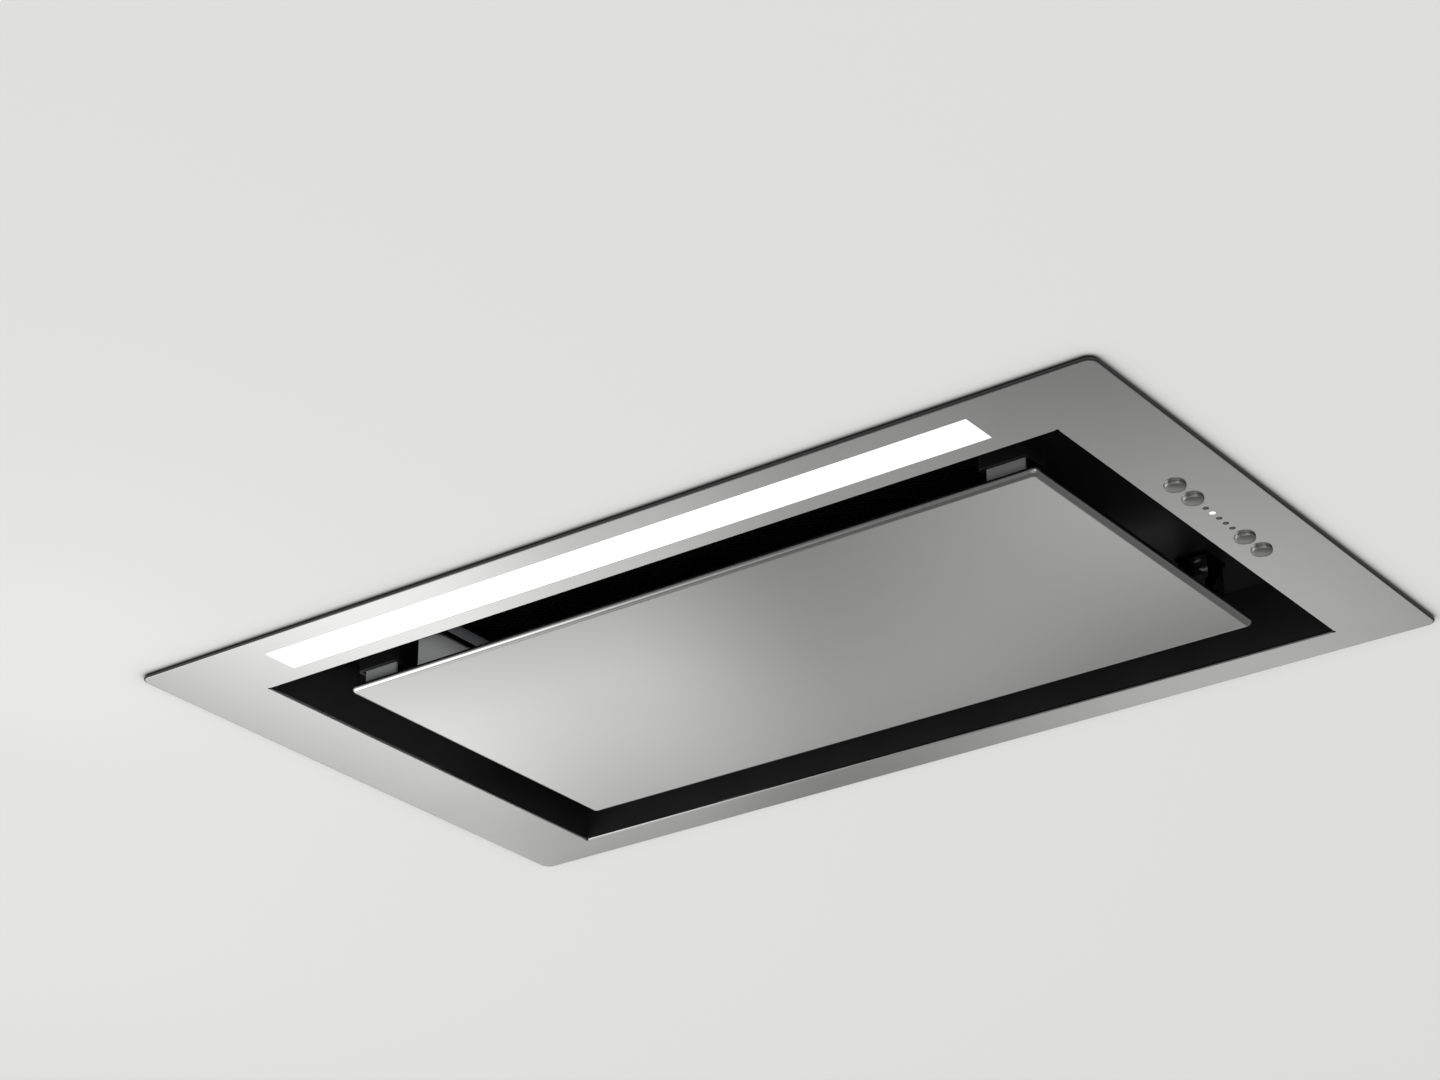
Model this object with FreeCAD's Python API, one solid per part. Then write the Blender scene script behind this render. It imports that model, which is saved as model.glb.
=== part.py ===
import FreeCAD, Part
import math
import os

# Built-in range hood that hangs in a cut-out.
# Millimetres. X runs to the right, Y to the rear, Z up. X = Y = 0 is the middle of the
# frame's outline. Heights here count from the frame's visible lower face. The finished
# solids are set down by the height of frame and foam strip, so that Z = 0 is the top of the
# foam strip.

# Frame
FRAME_WIDTH = 524.0
FRAME_DEPTH = 308.0
FRAME_CORNER = 5.0
FRAME_SHEET = 1.2
SIDE_MARGIN = 43.0
FRONT_MARGIN = 44.0
REAR_MARGIN = 20.0
CORNER_RELIEF = 0.9
EDGE_BREAK = 0.5
EDGE_ROUND = 0.9
GASKET_WIDTH = 4.0
GASKET_HEIGHT = 0.8
GASKET_INSET = 0.4

# Suction panel
SLOT = 26.5
PANEL_HEIGHT = 3.2
PANEL_SHEET = 1.0
PANEL_EDGE = 3.0
PANEL_CORNER = 3.4
BACK_CLEARANCE = 0.4
BACK_SHEET = 0.8
RIB_HEIGHT = 1.2
RIB_WIDTH = 16.0

# Light bar
LIGHT_LENGTH = 388.0
LIGHT_WIDTH = 20.0
LIGHT_TO_OPENING = 10.5
LIGHT_BORDER = 3.4
LIGHT_HEIGHT = 16.0
LIGHT_SHEET = 1.2
LENS_FLANGE = 1.5
LENS_GAP = 0.08
LED_COUNT = 24
LED_MARGIN = 12.0
STRIP_MARGIN = 4.0
STRIP_WIDTH = 13.0

# Controls
BUTTON_INSET = 14.3
BUTTON_RADIUS = 4.75
BUTTON_GAP = 0.2
BUTTON_COLLAR = 1.2
BUTTON_TRAVEL = 1.0
BUTTON_PROUD = 1.9
BUTTON_CROWN = 0.5
BUTTON_ROUND = 0.7
BUTTON_PITCH = 15.3
BUTTON_NEAR = 22.9
DOT_RADIUS = 1.4
DOT_PITCH = 5.9
DOT_COUNT = 5
CARRIER_WIDTH = 15.6
CARRIER_HEIGHT = 6.8
SWITCH_SIZE = 6.0
BOARD_SHEET = 1.6

# Inner walls and filter deck
SKIRT_SHEET = 1.0
SKIRT_FOOT = 3.0
DECK_HEIGHT = 35.0
DECK_SHEET = 1.0

# Panel hinge and catches
HINGE_FROM_SIDE = 20.5
HINGE_FROM_REAR = 10.5
HINGE_HEIGHT = 20.0
HINGE_EYE = 6.0
HINGE_PIN = 2.5
HINGE_SHEET = 1.5
HINGE_INSIDE = 10.0
HINGE_ARM_FRONT = 14.0
HINGE_ARM_REAR = 6.5
BRACKET_HALF = 9.0
RIVET_OFFSET = 5.5
RUNNING_GAP = 0.06
PRESS_GAP = 0.02
SIDE_GAP = 0.3
STRIKE_FROM_SIDE = 17.0
STRIKE_FROM_FRONT = 3.5
STRIKE_WIDTH = 19.0
STRIKE_SHEET = 1.2
STRIKE_LIP = 8.0
STRIKE_BASE = 18.0
CATCH_BOTTOM = 10.0
CATCH_WALL = 2.0
CATCH_EAR = 8.0
CATCH_EAR_WIDTH = 12.0
MAGNET_HEIGHT = 6.0
STRIKE_TOP = 24.0
RIVET_RADIUS = 1.6

# Grease filter
FILTER_FROM_HINGE = 15.0
FILTER_FROM_OPENING = 12.0
FILTER_SLOT = 5.0
RAIL_WIDTH = 8.5
RAIL_HEIGHT = 10.0
RAIL_WALL = 1.5
RAIL_DROP = 1.0
MESH_SHEET = 1.2
MESH_COLUMNS = 21
MESH_ROWS = 12
LATCH_WIDTH = 44.0
LATCH_DEPTH = 9.0
LATCH_TRAVEL = 6.0
LATCH_BITE = 4.0

# Case
SIDE_OVERLAP = 16.0
REAR_OVERLAP = 8.0
CASE_SHEET = 1.0
FOLD = 12.0
LOW_SCREW = 60.0
HIGH_SCREW = 34.0
SCREW_RADIUS = 1.5
SCREW_HEAD = 3.2

# Blower
WHEEL_RADIUS = 60.0
WHEEL_LENGTH = 150.0
BLADE_DEPTH = 9.0
BLADE_SHEET = 1.0
BLADE_COUNT = 30
WHEEL_CLEARANCE = 5.0
SCROLL_START = 66.0
SCROLL_END = 96.0
TONGUE_ANGLE = 100.0
SCROLL_SHEET = 1.0
INLET_RADIUS = 50.0
BLOWER_CLEARANCE = 25.4
BLOWER_HEADROOM = 10.0
MOTOR_RADIUS = 42.0
SHAFT_RADIUS = 4.0
BEARING_RADIUS = 11.0
BEARING_LENGTH = 7.0
MOUNT_RADIUS = 57.0
MOUNT_LENGTH = 3.0
ARM_SHEET = 2.0

# Outlet
COLLAR_RADIUS = 74.5
COLLAR_WALL = 2.0
COLLAR_HEIGHT = 53.0
COLLAR_FLANGE = 3.0
COLLAR_BORDER = 12.0
FLAP_SEAT = 4.5
FLAP_SHEET = 1.6
FLAP_PIN = 1.5
FLAP_EYE = 3.2

# Electronics box, leads and leaf clips
BOX_WIDTH = 128.0
BOX_DEPTH = 168.0
BOX_HEIGHT = 32.0
BOX_WALL = 2.0
LID_SHEET = 2.5
POWER_LEFT = 36.0
POWER_RIGHT = 24.0
POWER_FRONT = 12.0
POWER_REAR = 34.0
POST_HEIGHT = 4.0
POST_RADIUS = 3.0
POST_INSET = 5.0
TERMINAL_WIDTH = 34.0
TERMINAL_DEPTH = 16.0
TERMINAL_HEIGHT = 17.0
TERMINAL_FROM_GLAND = 36.0
TERMINAL_FROM_REAR = 11.0
GLAND_RADIUS = 8.0
GLAND_BORE = 4.5
GLAND_LENGTH = 21.0
LEAD_RADIUS = 3.0
THIN_LEAD = 2.0
LEAD_BEND = 14.0
MOTOR_LEAD_SIDE = 24.0
MOTOR_LEAD_FRONT = 22.0
CLIP_WIDTH = 22.0
CLIP_SHEET = 0.8
CLIP_REACH = 10.0
CLIP_RISE = 38.0
CLIP_FOOT = 28.0
CLIP_LOW_HOLE = 8.0
CLIP_HIGH_HOLE = 20.0
BOARD_THICKNESS = 18.0

# Positions that follow from the sizes above
V = FreeCAD.Vector
half_w = FRAME_WIDTH / 2
front_y = -FRAME_DEPTH / 2
rear_y = FRAME_DEPTH / 2
open_x = half_w - SIDE_MARGIN
open_front = front_y + FRONT_MARGIN
open_rear = rear_y - REAR_MARGIN
panel_x = open_x - SLOT
panel_front = open_front + SLOT
panel_rear = open_rear - SLOT
back_top = PANEL_SHEET + BACK_SHEET
light_rear = open_front - LIGHT_TO_OPENING
light_front = light_rear - LIGHT_WIDTH
light_y = (light_rear + light_front) / 2
channel_x = LIGHT_LENGTH / 2 + LIGHT_BORDER
channel_front = light_front - LIGHT_BORDER
channel_rear = light_rear + LIGHT_BORDER
case_x = half_w - SIDE_OVERLAP
case_rear = rear_y - REAR_OVERLAP
case_front = channel_front - CASE_SHEET - 1.1
case_x_in = case_x - CASE_SHEET
case_front_in = case_front + CASE_SHEET
case_rear_in = case_rear - CASE_SHEET
deck_top = DECK_HEIGHT + DECK_SHEET
button_x = open_x + BUTTON_INSET
button_ys = (
    -BUTTON_NEAR - BUTTON_PITCH,
    -BUTTON_NEAR,
    BUTTON_NEAR,
    BUTTON_NEAR + BUTTON_PITCH,
)
dot_ys = [(i - (DOT_COUNT - 1) / 2) * DOT_PITCH for i in range(DOT_COUNT)]
carrier_end = button_ys[-1] + BUTTON_RADIUS + 6.0
carrier_top = FRAME_SHEET + CARRIER_HEIGHT
stem_top = carrier_top
switch_tip = stem_top + BUTTON_TRAVEL + 0.1
board_z = switch_tip + 4.0
hinge_x = panel_x - HINGE_FROM_SIDE
hinge_y = panel_rear - HINGE_FROM_REAR
strike_x = panel_x - STRIKE_FROM_SIDE
strike_front = panel_front + STRIKE_FROM_FRONT
filter_x = hinge_x - FILTER_FROM_HINGE
filter_front = open_front + FILTER_FROM_OPENING
filter_rear = hinge_y - 13.0
rail_bottom = DECK_HEIGHT - RAIL_DROP
rail_top = rail_bottom + RAIL_HEIGHT
mesh_z = rail_bottom + RAIL_HEIGHT / 2
pocket_rear = filter_front + RAIL_WIDTH + LATCH_DEPTH + LATCH_TRAVEL + 4.0
scroll_x = WHEEL_LENGTH / 2 + WHEEL_CLEARANCE
tongue_y = SCROLL_START * math.cos(math.radians(TONGUE_ANGLE))
blower_y = -(tongue_y + SCROLL_END) / 2
scroll_low = SCROLL_START + (SCROLL_END - SCROLL_START) * (270 - TONGUE_ANGLE) / (360 - TONGUE_ANGLE)
blower_z = deck_top + BLOWER_CLEARANCE + scroll_low + SCROLL_SHEET
case_top_in = blower_z + SCROLL_START + SCROLL_SHEET + BLOWER_HEADROOM
case_top_z = case_top_in + CASE_SHEET
motor_end = -scroll_x - SCROLL_SHEET - MOUNT_LENGTH
motor_nose = -14.0
collar_base = case_top_z + COLLAR_FLANGE
flap_z = collar_base + 4.0
box_right = case_x - 3.0
box_left = box_right - BOX_WIDTH
box_front = case_front + 8.0
box_rear = box_front + BOX_DEPTH
box_floor = case_top_z + BOX_WALL
box_top = case_top_z + BOX_HEIGHT
gland_x = (box_left + box_right) / 2
gland_z = case_top_z + BOX_HEIGHT / 2
terminal_x = gland_x - TERMINAL_FROM_GLAND
terminal_rear = box_rear - TERMINAL_FROM_REAR
board_floor = box_floor + POST_HEIGHT
light_lead_x = open_x + 7.5
control_lead_y = 5.0
motor_lead_x = box_left + MOTOR_LEAD_SIDE
motor_lead_y = box_front + MOTOR_LEAD_FRONT
motor_lead_z = case_top_in - LEAD_RADIUS - SIDE_GAP
motor_hole_x = motor_lead_x - 0.3 * LEAD_BEND
motor_hole = LEAD_RADIUS + 0.3 * LEAD_BEND
clip_ys = (-FRAME_DEPTH / 4, FRAME_DEPTH / 4)
seat_z = FRAME_SHEET + GASKET_HEIGHT
clip_foot = seat_z + BOARD_THICKNESS + CLIP_RISE
clip_holes = (clip_foot + CLIP_LOW_HOLE, clip_foot + CLIP_HIGH_HOLE)
screw_zs = (LOW_SCREW, case_top_z / 2, case_top_z - HIGH_SCREW)


def box(x0, x1, y0, y1, z0, z1):
    """Plain block between the given limits."""
    return Part.makeBox(x1 - x0, y1 - y0, z1 - z0, V(x0, y0, z0))


def rod_x(x0, x1, y, z, r):
    """Round bar along X."""
    return Part.makeCylinder(r, x1 - x0, V(x0, y, z), V(1, 0, 0))


def rod_y(y0, y1, x, z, r):
    """Round bar along Y."""
    return Part.makeCylinder(r, y1 - y0, V(x, y0, z), V(0, 1, 0))


def rod_z(z0, z1, x, y, r):
    """Round bar along Z."""
    return Part.makeCylinder(r, z1 - z0, V(x, y, z0), V(0, 0, 1))


def join(shapes):
    """One solid from shapes that touch or overlap."""
    first, rest = shapes[0], shapes[1:]
    return first.multiFuse(rest).removeSplitter() if rest else first


def rounded_box(x0, x1, y0, y1, z0, z1, r):
    """Block with its four upright edges rounded."""
    block = box(x0, x1, y0, y1, z0, z1)
    upright = [e for e in block.Edges if abs(e.tangentAt(e.FirstParameter).z) > 0.9]
    return block.makeFillet(r, upright)


def bottom_edges(shape, z):
    """Edges of a shape that lie in one level plane."""
    return [e for e in shape.Edges if abs(e.BoundBox.ZMax - z) < 1e-6]


def mirrored(shape):
    """Copy of a shape on the other side of the middle plane X = 0."""
    return shape.mirror(V(0, 0, 0), V(1, 0, 0))


def plate_yz(edges, x0, x1):
    """Sheet whose outline lies across X."""
    face = Part.Face(Part.Wire(edges))
    return face.extrude(V(x1 - x0, 0, 0))


def tube(points, radius, bend):
    """Round lead along straight runs with arcs between them."""
    edges = []
    start = points[0]
    for before, corner, after in zip(points, points[1:], points[2:]):
        into = (corner - before).normalize()
        away = (after - corner).normalize()
        turn = math.radians(180) - into.getAngle(away)
        cut = bend / math.tan(turn / 2)
        first = corner - into * cut
        last = corner + away * cut
        centre_way = (away - into).normalize()
        middle = corner + centre_way * (bend / math.sin(turn / 2) - bend)
        edges.append(Part.makeLine(start, first))
        edges.append(Part.Arc(first, middle, last).toShape())
        start = last
    edges.append(Part.makeLine(start, points[-1]))
    way = points[1] - points[0]
    ring = Part.Wire([Part.makeCircle(radius, points[0], way)])
    return Part.Wire(edges).makePipeShell([ring], True, False)


def frame_plate():
    """Flat stainless frame with a rounded outer edge and all its holes."""
    t = FRAME_SHEET
    plate = rounded_box(-half_w, half_w, front_y, rear_y, 0, t, FRAME_CORNER)
    plate = plate.makeFillet(min(EDGE_ROUND, 0.8 * t), bottom_edges(plate, 0))
    cuts = [box(-open_x, open_x, open_front, open_rear, -1, t + 1)]
    for x in (-open_x, open_x):
        for y in (open_front, open_rear):
            cuts.append(rod_z(-1, t + 1, x, y, CORNER_RELIEF))
    half_l = LIGHT_LENGTH / 2 + LENS_GAP
    cuts.append(box(-half_l, half_l, light_front - LENS_GAP, light_rear + LENS_GAP, -1, t + 1))
    for y in button_ys:
        cuts.append(rod_z(-1, t + 1, button_x, y, BUTTON_RADIUS + BUTTON_GAP))
    for y in dot_ys:
        cuts.append(rod_z(-1, t + 1, button_x, y, DOT_RADIUS + 0.05))
    c = EDGE_BREAK
    mouth = box(-open_x - c, open_x + c, open_front - c, open_rear + c, -1, c)
    cuts.append(mouth.makeChamfer(c, [e for e in mouth.Edges if e.BoundBox.ZMin > 0]))
    return plate.cut(cuts)


def frame_gasket():
    """Foam strip on the frame's outer edge, all round the case."""
    c = GASKET_INSET
    out_x, out_front, out_rear = half_w - c, front_y + c, rear_y - c
    in_x = max(case_x + 0.8, out_x - GASKET_WIDTH)
    in_front = min(case_front - 0.8, out_front + GASKET_WIDTH)
    in_rear = max(case_rear + 0.8, out_rear - GASKET_WIDTH)
    ring = rounded_box(-out_x, out_x, out_front, out_rear, FRAME_SHEET, seat_z, FRAME_CORNER - c)
    return ring.cut(box(-in_x, in_x, in_front, in_rear, 0, seat_z + 1))


def light_diffuser():
    """Opal bar that shows in the frame, with a flange behind the sheet."""
    half_l = LIGHT_LENGTH / 2
    z = FRAME_SHEET
    face = box(-half_l, half_l, light_front, light_rear, 0.1, z + 0.5)
    flange = box(-half_l - 2, half_l + 2, light_front - 2, light_rear + 2, z, z + LENS_FLANGE)
    return join([face, flange])


def light_channel():
    """Aluminium channel over the diffuser, closed at its ends."""
    z = FRAME_SHEET
    t = LIGHT_SHEET
    outer = box(-channel_x, channel_x, channel_front, channel_rear, z, z + LIGHT_HEIGHT)
    inner = box(-channel_x + t, channel_x - t, channel_front + t, channel_rear - t, z,
                z + LIGHT_HEIGHT - t)
    lead = rod_x(channel_x - 2 * t, channel_x + 1, light_y, z + LIGHT_HEIGHT / 2, THIN_LEAD + 0.1)
    return outer.cut([inner, lead])


def light_board():
    """Strip board under the channel's roof."""
    top = FRAME_SHEET + LIGHT_HEIGHT - LIGHT_SHEET
    half_l = LIGHT_LENGTH / 2 - STRIP_MARGIN
    y0, y1 = light_y - STRIP_WIDTH / 2, light_y + STRIP_WIDTH / 2
    return box(-half_l, half_l, y0, y1, top - BOARD_SHEET, top)


def light_leds():
    """Row of light chips on the strip board."""
    top = FRAME_SHEET + LIGHT_HEIGHT - LIGHT_SHEET - BOARD_SHEET
    row = LIGHT_LENGTH - 2 * LED_MARGIN
    pitch = row / (LED_COUNT - 1)
    chips = []
    for i in range(LED_COUNT):
        x = -row / 2 + i * pitch
        chips.append(box(x - 1.75, x + 1.75, light_y - 1.4, light_y + 1.4, top - 0.8, top))
    return chips


def skirt_x(side):
    """Left (-1) or right (1) inner wall with its foot on the frame."""
    wall = box(open_x, open_x + SKIRT_SHEET, open_front, open_rear, FRAME_SHEET, DECK_HEIGHT)
    foot = box(open_x, open_x + SKIRT_SHEET + SKIRT_FOOT, open_front, open_rear, FRAME_SHEET,
               FRAME_SHEET + SKIRT_SHEET)
    skirt = join([wall, foot])
    return skirt if side > 0 else mirrored(skirt)


def skirt_y(edge, way):
    """Front or rear inner wall, which also closes the corners."""
    x = open_x + SKIRT_SHEET
    near, far = edge, edge + way * SKIRT_SHEET
    toe = far + way * SKIRT_FOOT
    wall = box(-x, x, min(near, far), max(near, far), FRAME_SHEET, DECK_HEIGHT)
    foot = box(-open_x, open_x, min(near, toe), max(near, toe), FRAME_SHEET,
               FRAME_SHEET + SKIRT_SHEET)
    return join([wall, foot])


def rivet_places():
    """Middle of each rivet in the deck: two at each hinge and one behind each catch."""
    places = []
    for side in (-1, 1):
        places.append((side * hinge_x, hinge_y - RIVET_OFFSET))
        places.append((side * hinge_x, hinge_y + RIVET_OFFSET))
        places.append((side * strike_x, catch_limits()[3] + CATCH_EAR / 2))
    return places


def lead_places():
    """Middle and radius of each upright lead that goes through deck and case top."""
    return [
        (light_lead_x, light_y, THIN_LEAD + 0.4),
        (button_x, control_lead_y, THIN_LEAD + 0.4),
    ]


def filter_deck():
    """Galvanised plate that carries the filter, the hinges and the catches."""
    x = case_x_in - CASE_SHEET - 0.2
    plate = box(-x, x, case_front_in + 0.2, case_rear_in - 0.2, DECK_HEIGHT, deck_top)
    s = FILTER_SLOT
    cuts = [box(-filter_x - s, filter_x + s, filter_front - s, filter_rear + s, 0, deck_top + 1)]
    for px, py in rivet_places():
        cuts.append(rod_z(DECK_HEIGHT - 1, deck_top + 1, px, py, RIVET_RADIUS))
    for px, py, r in lead_places():
        cuts.append(rod_z(DECK_HEIGHT - 1, deck_top + 1, px, py, r))
    return plate.cut(cuts)


def panel_skin():
    """Visible tray of the suction panel with rounded lower edges."""
    outer = rounded_box(-panel_x, panel_x, panel_front, panel_rear, 0, PANEL_HEIGHT, PANEL_CORNER)
    outer = outer.makeFillet(PANEL_EDGE, bottom_edges(outer, 0))
    t = PANEL_SHEET
    inner = rounded_box(-panel_x + t, panel_x - t, panel_front + t, panel_rear - t, t,
                        PANEL_HEIGHT + 1, PANEL_CORNER - t)
    inner = inner.makeFillet(PANEL_EDGE - t, bottom_edges(inner, t))
    return outer.cut(inner)


def panel_back():
    """Back plate of the panel with pressed ribs."""
    gap = PANEL_EDGE + BACK_CLEARANCE
    x, y0, y1 = panel_x - gap, panel_front + gap, panel_rear - gap
    plate = box(-x, x, y0, y1, PANEL_SHEET, back_top)
    ribs = []
    for part in (0.3, 0.5, 0.7):
        y = y0 + (y1 - y0) * part
        rib_x = strike_x - STRIKE_WIDTH
        rib = rounded_box(-rib_x, rib_x, y - RIB_WIDTH / 2, y + RIB_WIDTH / 2, PANEL_SHEET,
                          back_top + RIB_HEIGHT, RIB_WIDTH / 2 - 0.5)
        ribs.append(rib)
    return join([plate] + ribs)


def panel_strike(side):
    """Bent steel strike near a front corner of the panel."""
    x0, x1 = strike_x - STRIKE_WIDTH / 2, strike_x + STRIKE_WIDTH / 2
    y, t = strike_front, STRIKE_SHEET
    base = box(x0, x1, y, y + STRIKE_BASE, back_top, back_top + t)
    riser = box(x0, x1, y, y + t, back_top, STRIKE_TOP)
    lip = box(x0, x1, y, y + STRIKE_LIP, STRIKE_TOP - t, STRIKE_TOP)
    strike = join([base, riser, lip])
    return strike if side > 0 else mirrored(strike)


def catch_limits():
    """Outer limits of a catch housing in X and Y."""
    half = STRIKE_WIDTH / 2 + 1.0 + CATCH_WALL
    y0 = strike_front - 1.0 - CATCH_WALL
    y1 = strike_front + STRIKE_LIP + 3.5 + CATCH_WALL
    return strike_x - half, strike_x + half, y0, y1


def catch_magnet(side):
    """Magnet block above the strike."""
    half = STRIKE_WIDTH / 2 - 1
    z = STRIKE_TOP + SIDE_GAP
    magnet = box(strike_x - half, strike_x + half, strike_front, strike_front + STRIKE_LIP, z,
                 z + MAGNET_HEIGHT)
    return magnet if side > 0 else mirrored(magnet)


def catch_housing(side):
    """Plastic housing under the deck, open below for the strike."""
    x0, x1, y0, y1 = catch_limits()
    w = CATCH_WALL
    shell = box(x0, x1, y0, y1, CATCH_BOTTOM, DECK_HEIGHT)
    half = CATCH_EAR_WIDTH / 2
    ear = box(strike_x - half, strike_x + half, y1, y1 + CATCH_EAR, DECK_HEIGHT - w, DECK_HEIGHT)
    slot = box(x0 + w, x1 - w, y0 + w, y1 - w, CATCH_BOTTOM, STRIKE_TOP + SIDE_GAP)
    hole = rod_z(DECK_HEIGHT - w, DECK_HEIGHT, strike_x, y1 + CATCH_EAR / 2, RIVET_RADIUS)
    housing = join([shell, ear]).cut([slot, catch_magnet(1), hole])
    return housing if side > 0 else mirrored(housing)


def hinge_bracket(side):
    """Bracket under the deck with two legs round the panel's hinge arms."""
    t = HINGE_SHEET
    inner = HINGE_INSIDE / 2 + t + SIDE_GAP
    base = box(hinge_x - inner - t, hinge_x + inner + t, hinge_y - BRACKET_HALF,
               hinge_y + BRACKET_HALF, DECK_HEIGHT - t, DECK_HEIGHT)
    legs = []
    for x in (hinge_x - inner - t, hinge_x + inner):
        legs.append(box(x, x + t, hinge_y - HINGE_EYE, hinge_y + HINGE_EYE, HINGE_HEIGHT,
                        DECK_HEIGHT))
        legs.append(rod_x(x, x + t, hinge_y, HINGE_HEIGHT, HINGE_EYE))
    reach = inner + 2 * t
    cuts = [rod_x(hinge_x - reach, hinge_x + reach, hinge_y, HINGE_HEIGHT, HINGE_PIN + PRESS_GAP)]
    for y in (hinge_y - RIVET_OFFSET, hinge_y + RIVET_OFFSET):
        cuts.append(rod_z(DECK_HEIGHT - 2 * t, DECK_HEIGHT + 1, hinge_x, y, RIVET_RADIUS))
    bracket = join([base] + legs).cut(cuts)
    return bracket if side > 0 else mirrored(bracket)


def hinge_pin(side):
    """Headed pin through a bracket and a hinge arm."""
    reach = HINGE_INSIDE / 2 + 2 * HINGE_SHEET + SIDE_GAP
    shank = rod_x(hinge_x - reach - 1, hinge_x + reach, hinge_y, HINGE_HEIGHT, HINGE_PIN)
    head = rod_x(hinge_x + reach, hinge_x + reach + 1.2, hinge_y, HINGE_HEIGHT, HINGE_PIN + 1.5)
    pin = join([shank, head])
    return pin if side > 0 else mirrored(pin)


def hinge_arm(side):
    """Two-eared arm on the panel's back that turns on a pin."""
    t = HINGE_SHEET
    inner = HINGE_INSIDE / 2
    parts = [box(hinge_x - inner - t, hinge_x + inner + t, hinge_y - HINGE_ARM_FRONT,
                 hinge_y + HINGE_ARM_REAR, back_top, back_top + t)]
    for x in (hinge_x - inner - t, hinge_x + inner):
        parts.append(box(x, x + t, hinge_y - HINGE_EYE, hinge_y + HINGE_EYE, back_top,
                         HINGE_HEIGHT))
        parts.append(rod_x(x, x + t, hinge_y, HINGE_HEIGHT, HINGE_EYE))
    reach = inner + 2 * t
    bore = rod_x(hinge_x - reach, hinge_x + reach, hinge_y, HINGE_HEIGHT, HINGE_PIN + RUNNING_GAP)
    arm = join(parts).cut(bore)
    return arm if side > 0 else mirrored(arm)


def deck_rivets():
    """Rivets that hold hinge brackets and catch housings to the deck."""
    rivets = []
    for i, (x, y) in enumerate(rivet_places()):
        grip = CATCH_WALL if i % 3 == 2 else HINGE_SHEET
        low = DECK_HEIGHT - grip
        shank = rod_z(low, deck_top, x, y, RIVET_RADIUS)
        lower = rod_z(low - 1, low, x, y, 2 * RIVET_RADIUS)
        upper = rod_z(deck_top, deck_top + 1, x, y, 2 * RIVET_RADIUS)
        rivets.append(join([shank, lower, upper]))
    return rivets


def filter_frame():
    """Aluminium rails round the mesh, with rear tongues and a latch pocket."""
    w = RAIL_WIDTH
    ring = box(-filter_x, filter_x, filter_front, filter_rear, rail_bottom, rail_top)
    inside = box(-filter_x + w, filter_x - w, filter_front + w, filter_rear - w, 0, rail_top + 1)
    groove = box(-filter_x + RAIL_WALL, filter_x - RAIL_WALL, filter_front + RAIL_WALL,
                 filter_rear - RAIL_WALL, rail_bottom + RAIL_WALL, rail_top - RAIL_WALL)
    half = LATCH_WIDTH / 2 + 0.4
    t = RAIL_WALL
    pocket = box(-half - t, half + t, filter_front, pocket_rear + t, rail_bottom, rail_top)
    room = box(-half, half, filter_front + w, pocket_rear, 0, rail_top - t)
    reach = FILTER_SLOT + 6.0
    tongues = []
    for x in (-filter_x * 0.64, filter_x * 0.64):
        tongues.append(box(x - 15, x + 15, filter_rear - t, filter_rear + reach, deck_top + 0.2,
                           deck_top + 1.4))
    bolt = latch_bolt(0.3)
    return join([ring.cut([inside, groove]), pocket] + tongues).cut([room, bolt])


def latch_bolt(gap):
    """Flat bolt of the latch, or the slot for it when a gap is given."""
    half = LATCH_WIDTH / 4 + gap
    front = filter_front - FILTER_SLOT - LATCH_BITE
    low = deck_top + SIDE_GAP
    return box(-half, half, front, filter_front + RAIL_WIDTH + 1.0, low - min(gap, 0.2),
               low + 2.0 + gap)


def filter_latch():
    """Sliding latch with a finger lip below."""
    half = LATCH_WIDTH / 2
    y0 = filter_front + RAIL_WIDTH + 0.4
    y1 = y0 + LATCH_DEPTH
    block = box(-half, half, y0, y1, rail_bottom + 0.2, rail_top - RAIL_WALL - 0.4)
    lip = rounded_box(-half + 6, half - 6, y1 - 2.5, y1, rail_bottom - 7, rail_bottom + 1, 1.0)
    return join([block, lip, latch_bolt(0)])


def filter_mesh():
    """Expanded metal sheet in the rails, with its diamond holes."""
    x = filter_x - RAIL_WALL - 1.0
    y0, y1 = filter_front + RAIL_WALL + 1.0, filter_rear - RAIL_WALL - 1.0
    half = LATCH_WIDTH / 2 + 0.4 + RAIL_WALL + 0.3
    notch = pocket_rear + RAIL_WALL + 0.3
    corners = [(-x, y0), (-half, y0), (-half, notch), (half, notch), (half, y0), (x, y0),
               (x, y1), (-x, y1), (-x, y0)]
    z = mesh_z - MESH_SHEET / 2
    outline = Part.Wire(Part.makePolygon([V(a, b, z) for a, b in corners]))
    span_x = 2 * (filter_x - RAIL_WIDTH) / MESH_COLUMNS
    span_y = (filter_rear - filter_front - 2 * RAIL_WIDTH) / MESH_ROWS
    holes = []
    for i in range(MESH_COLUMNS):
        for j in range(MESH_ROWS):
            cx = -filter_x + RAIL_WIDTH + (i + 0.5) * span_x
            cy = filter_front + RAIL_WIDTH + (j + 0.5) * span_y
            if abs(cx) < half + span_x / 2 and cy < notch + span_y / 2:
                continue
            dx, dy = span_x * 0.40, span_y * 0.40
            ring = [(cx - dx, cy), (cx, cy - dy), (cx + dx, cy), (cx, cy + dy), (cx - dx, cy)]
            holes.append(Part.Wire(Part.makePolygon([V(a, b, z) for a, b in ring])))
    face = Part.Face([outline] + holes)
    return face.extrude(V(0, 0, MESH_SHEET))


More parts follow.
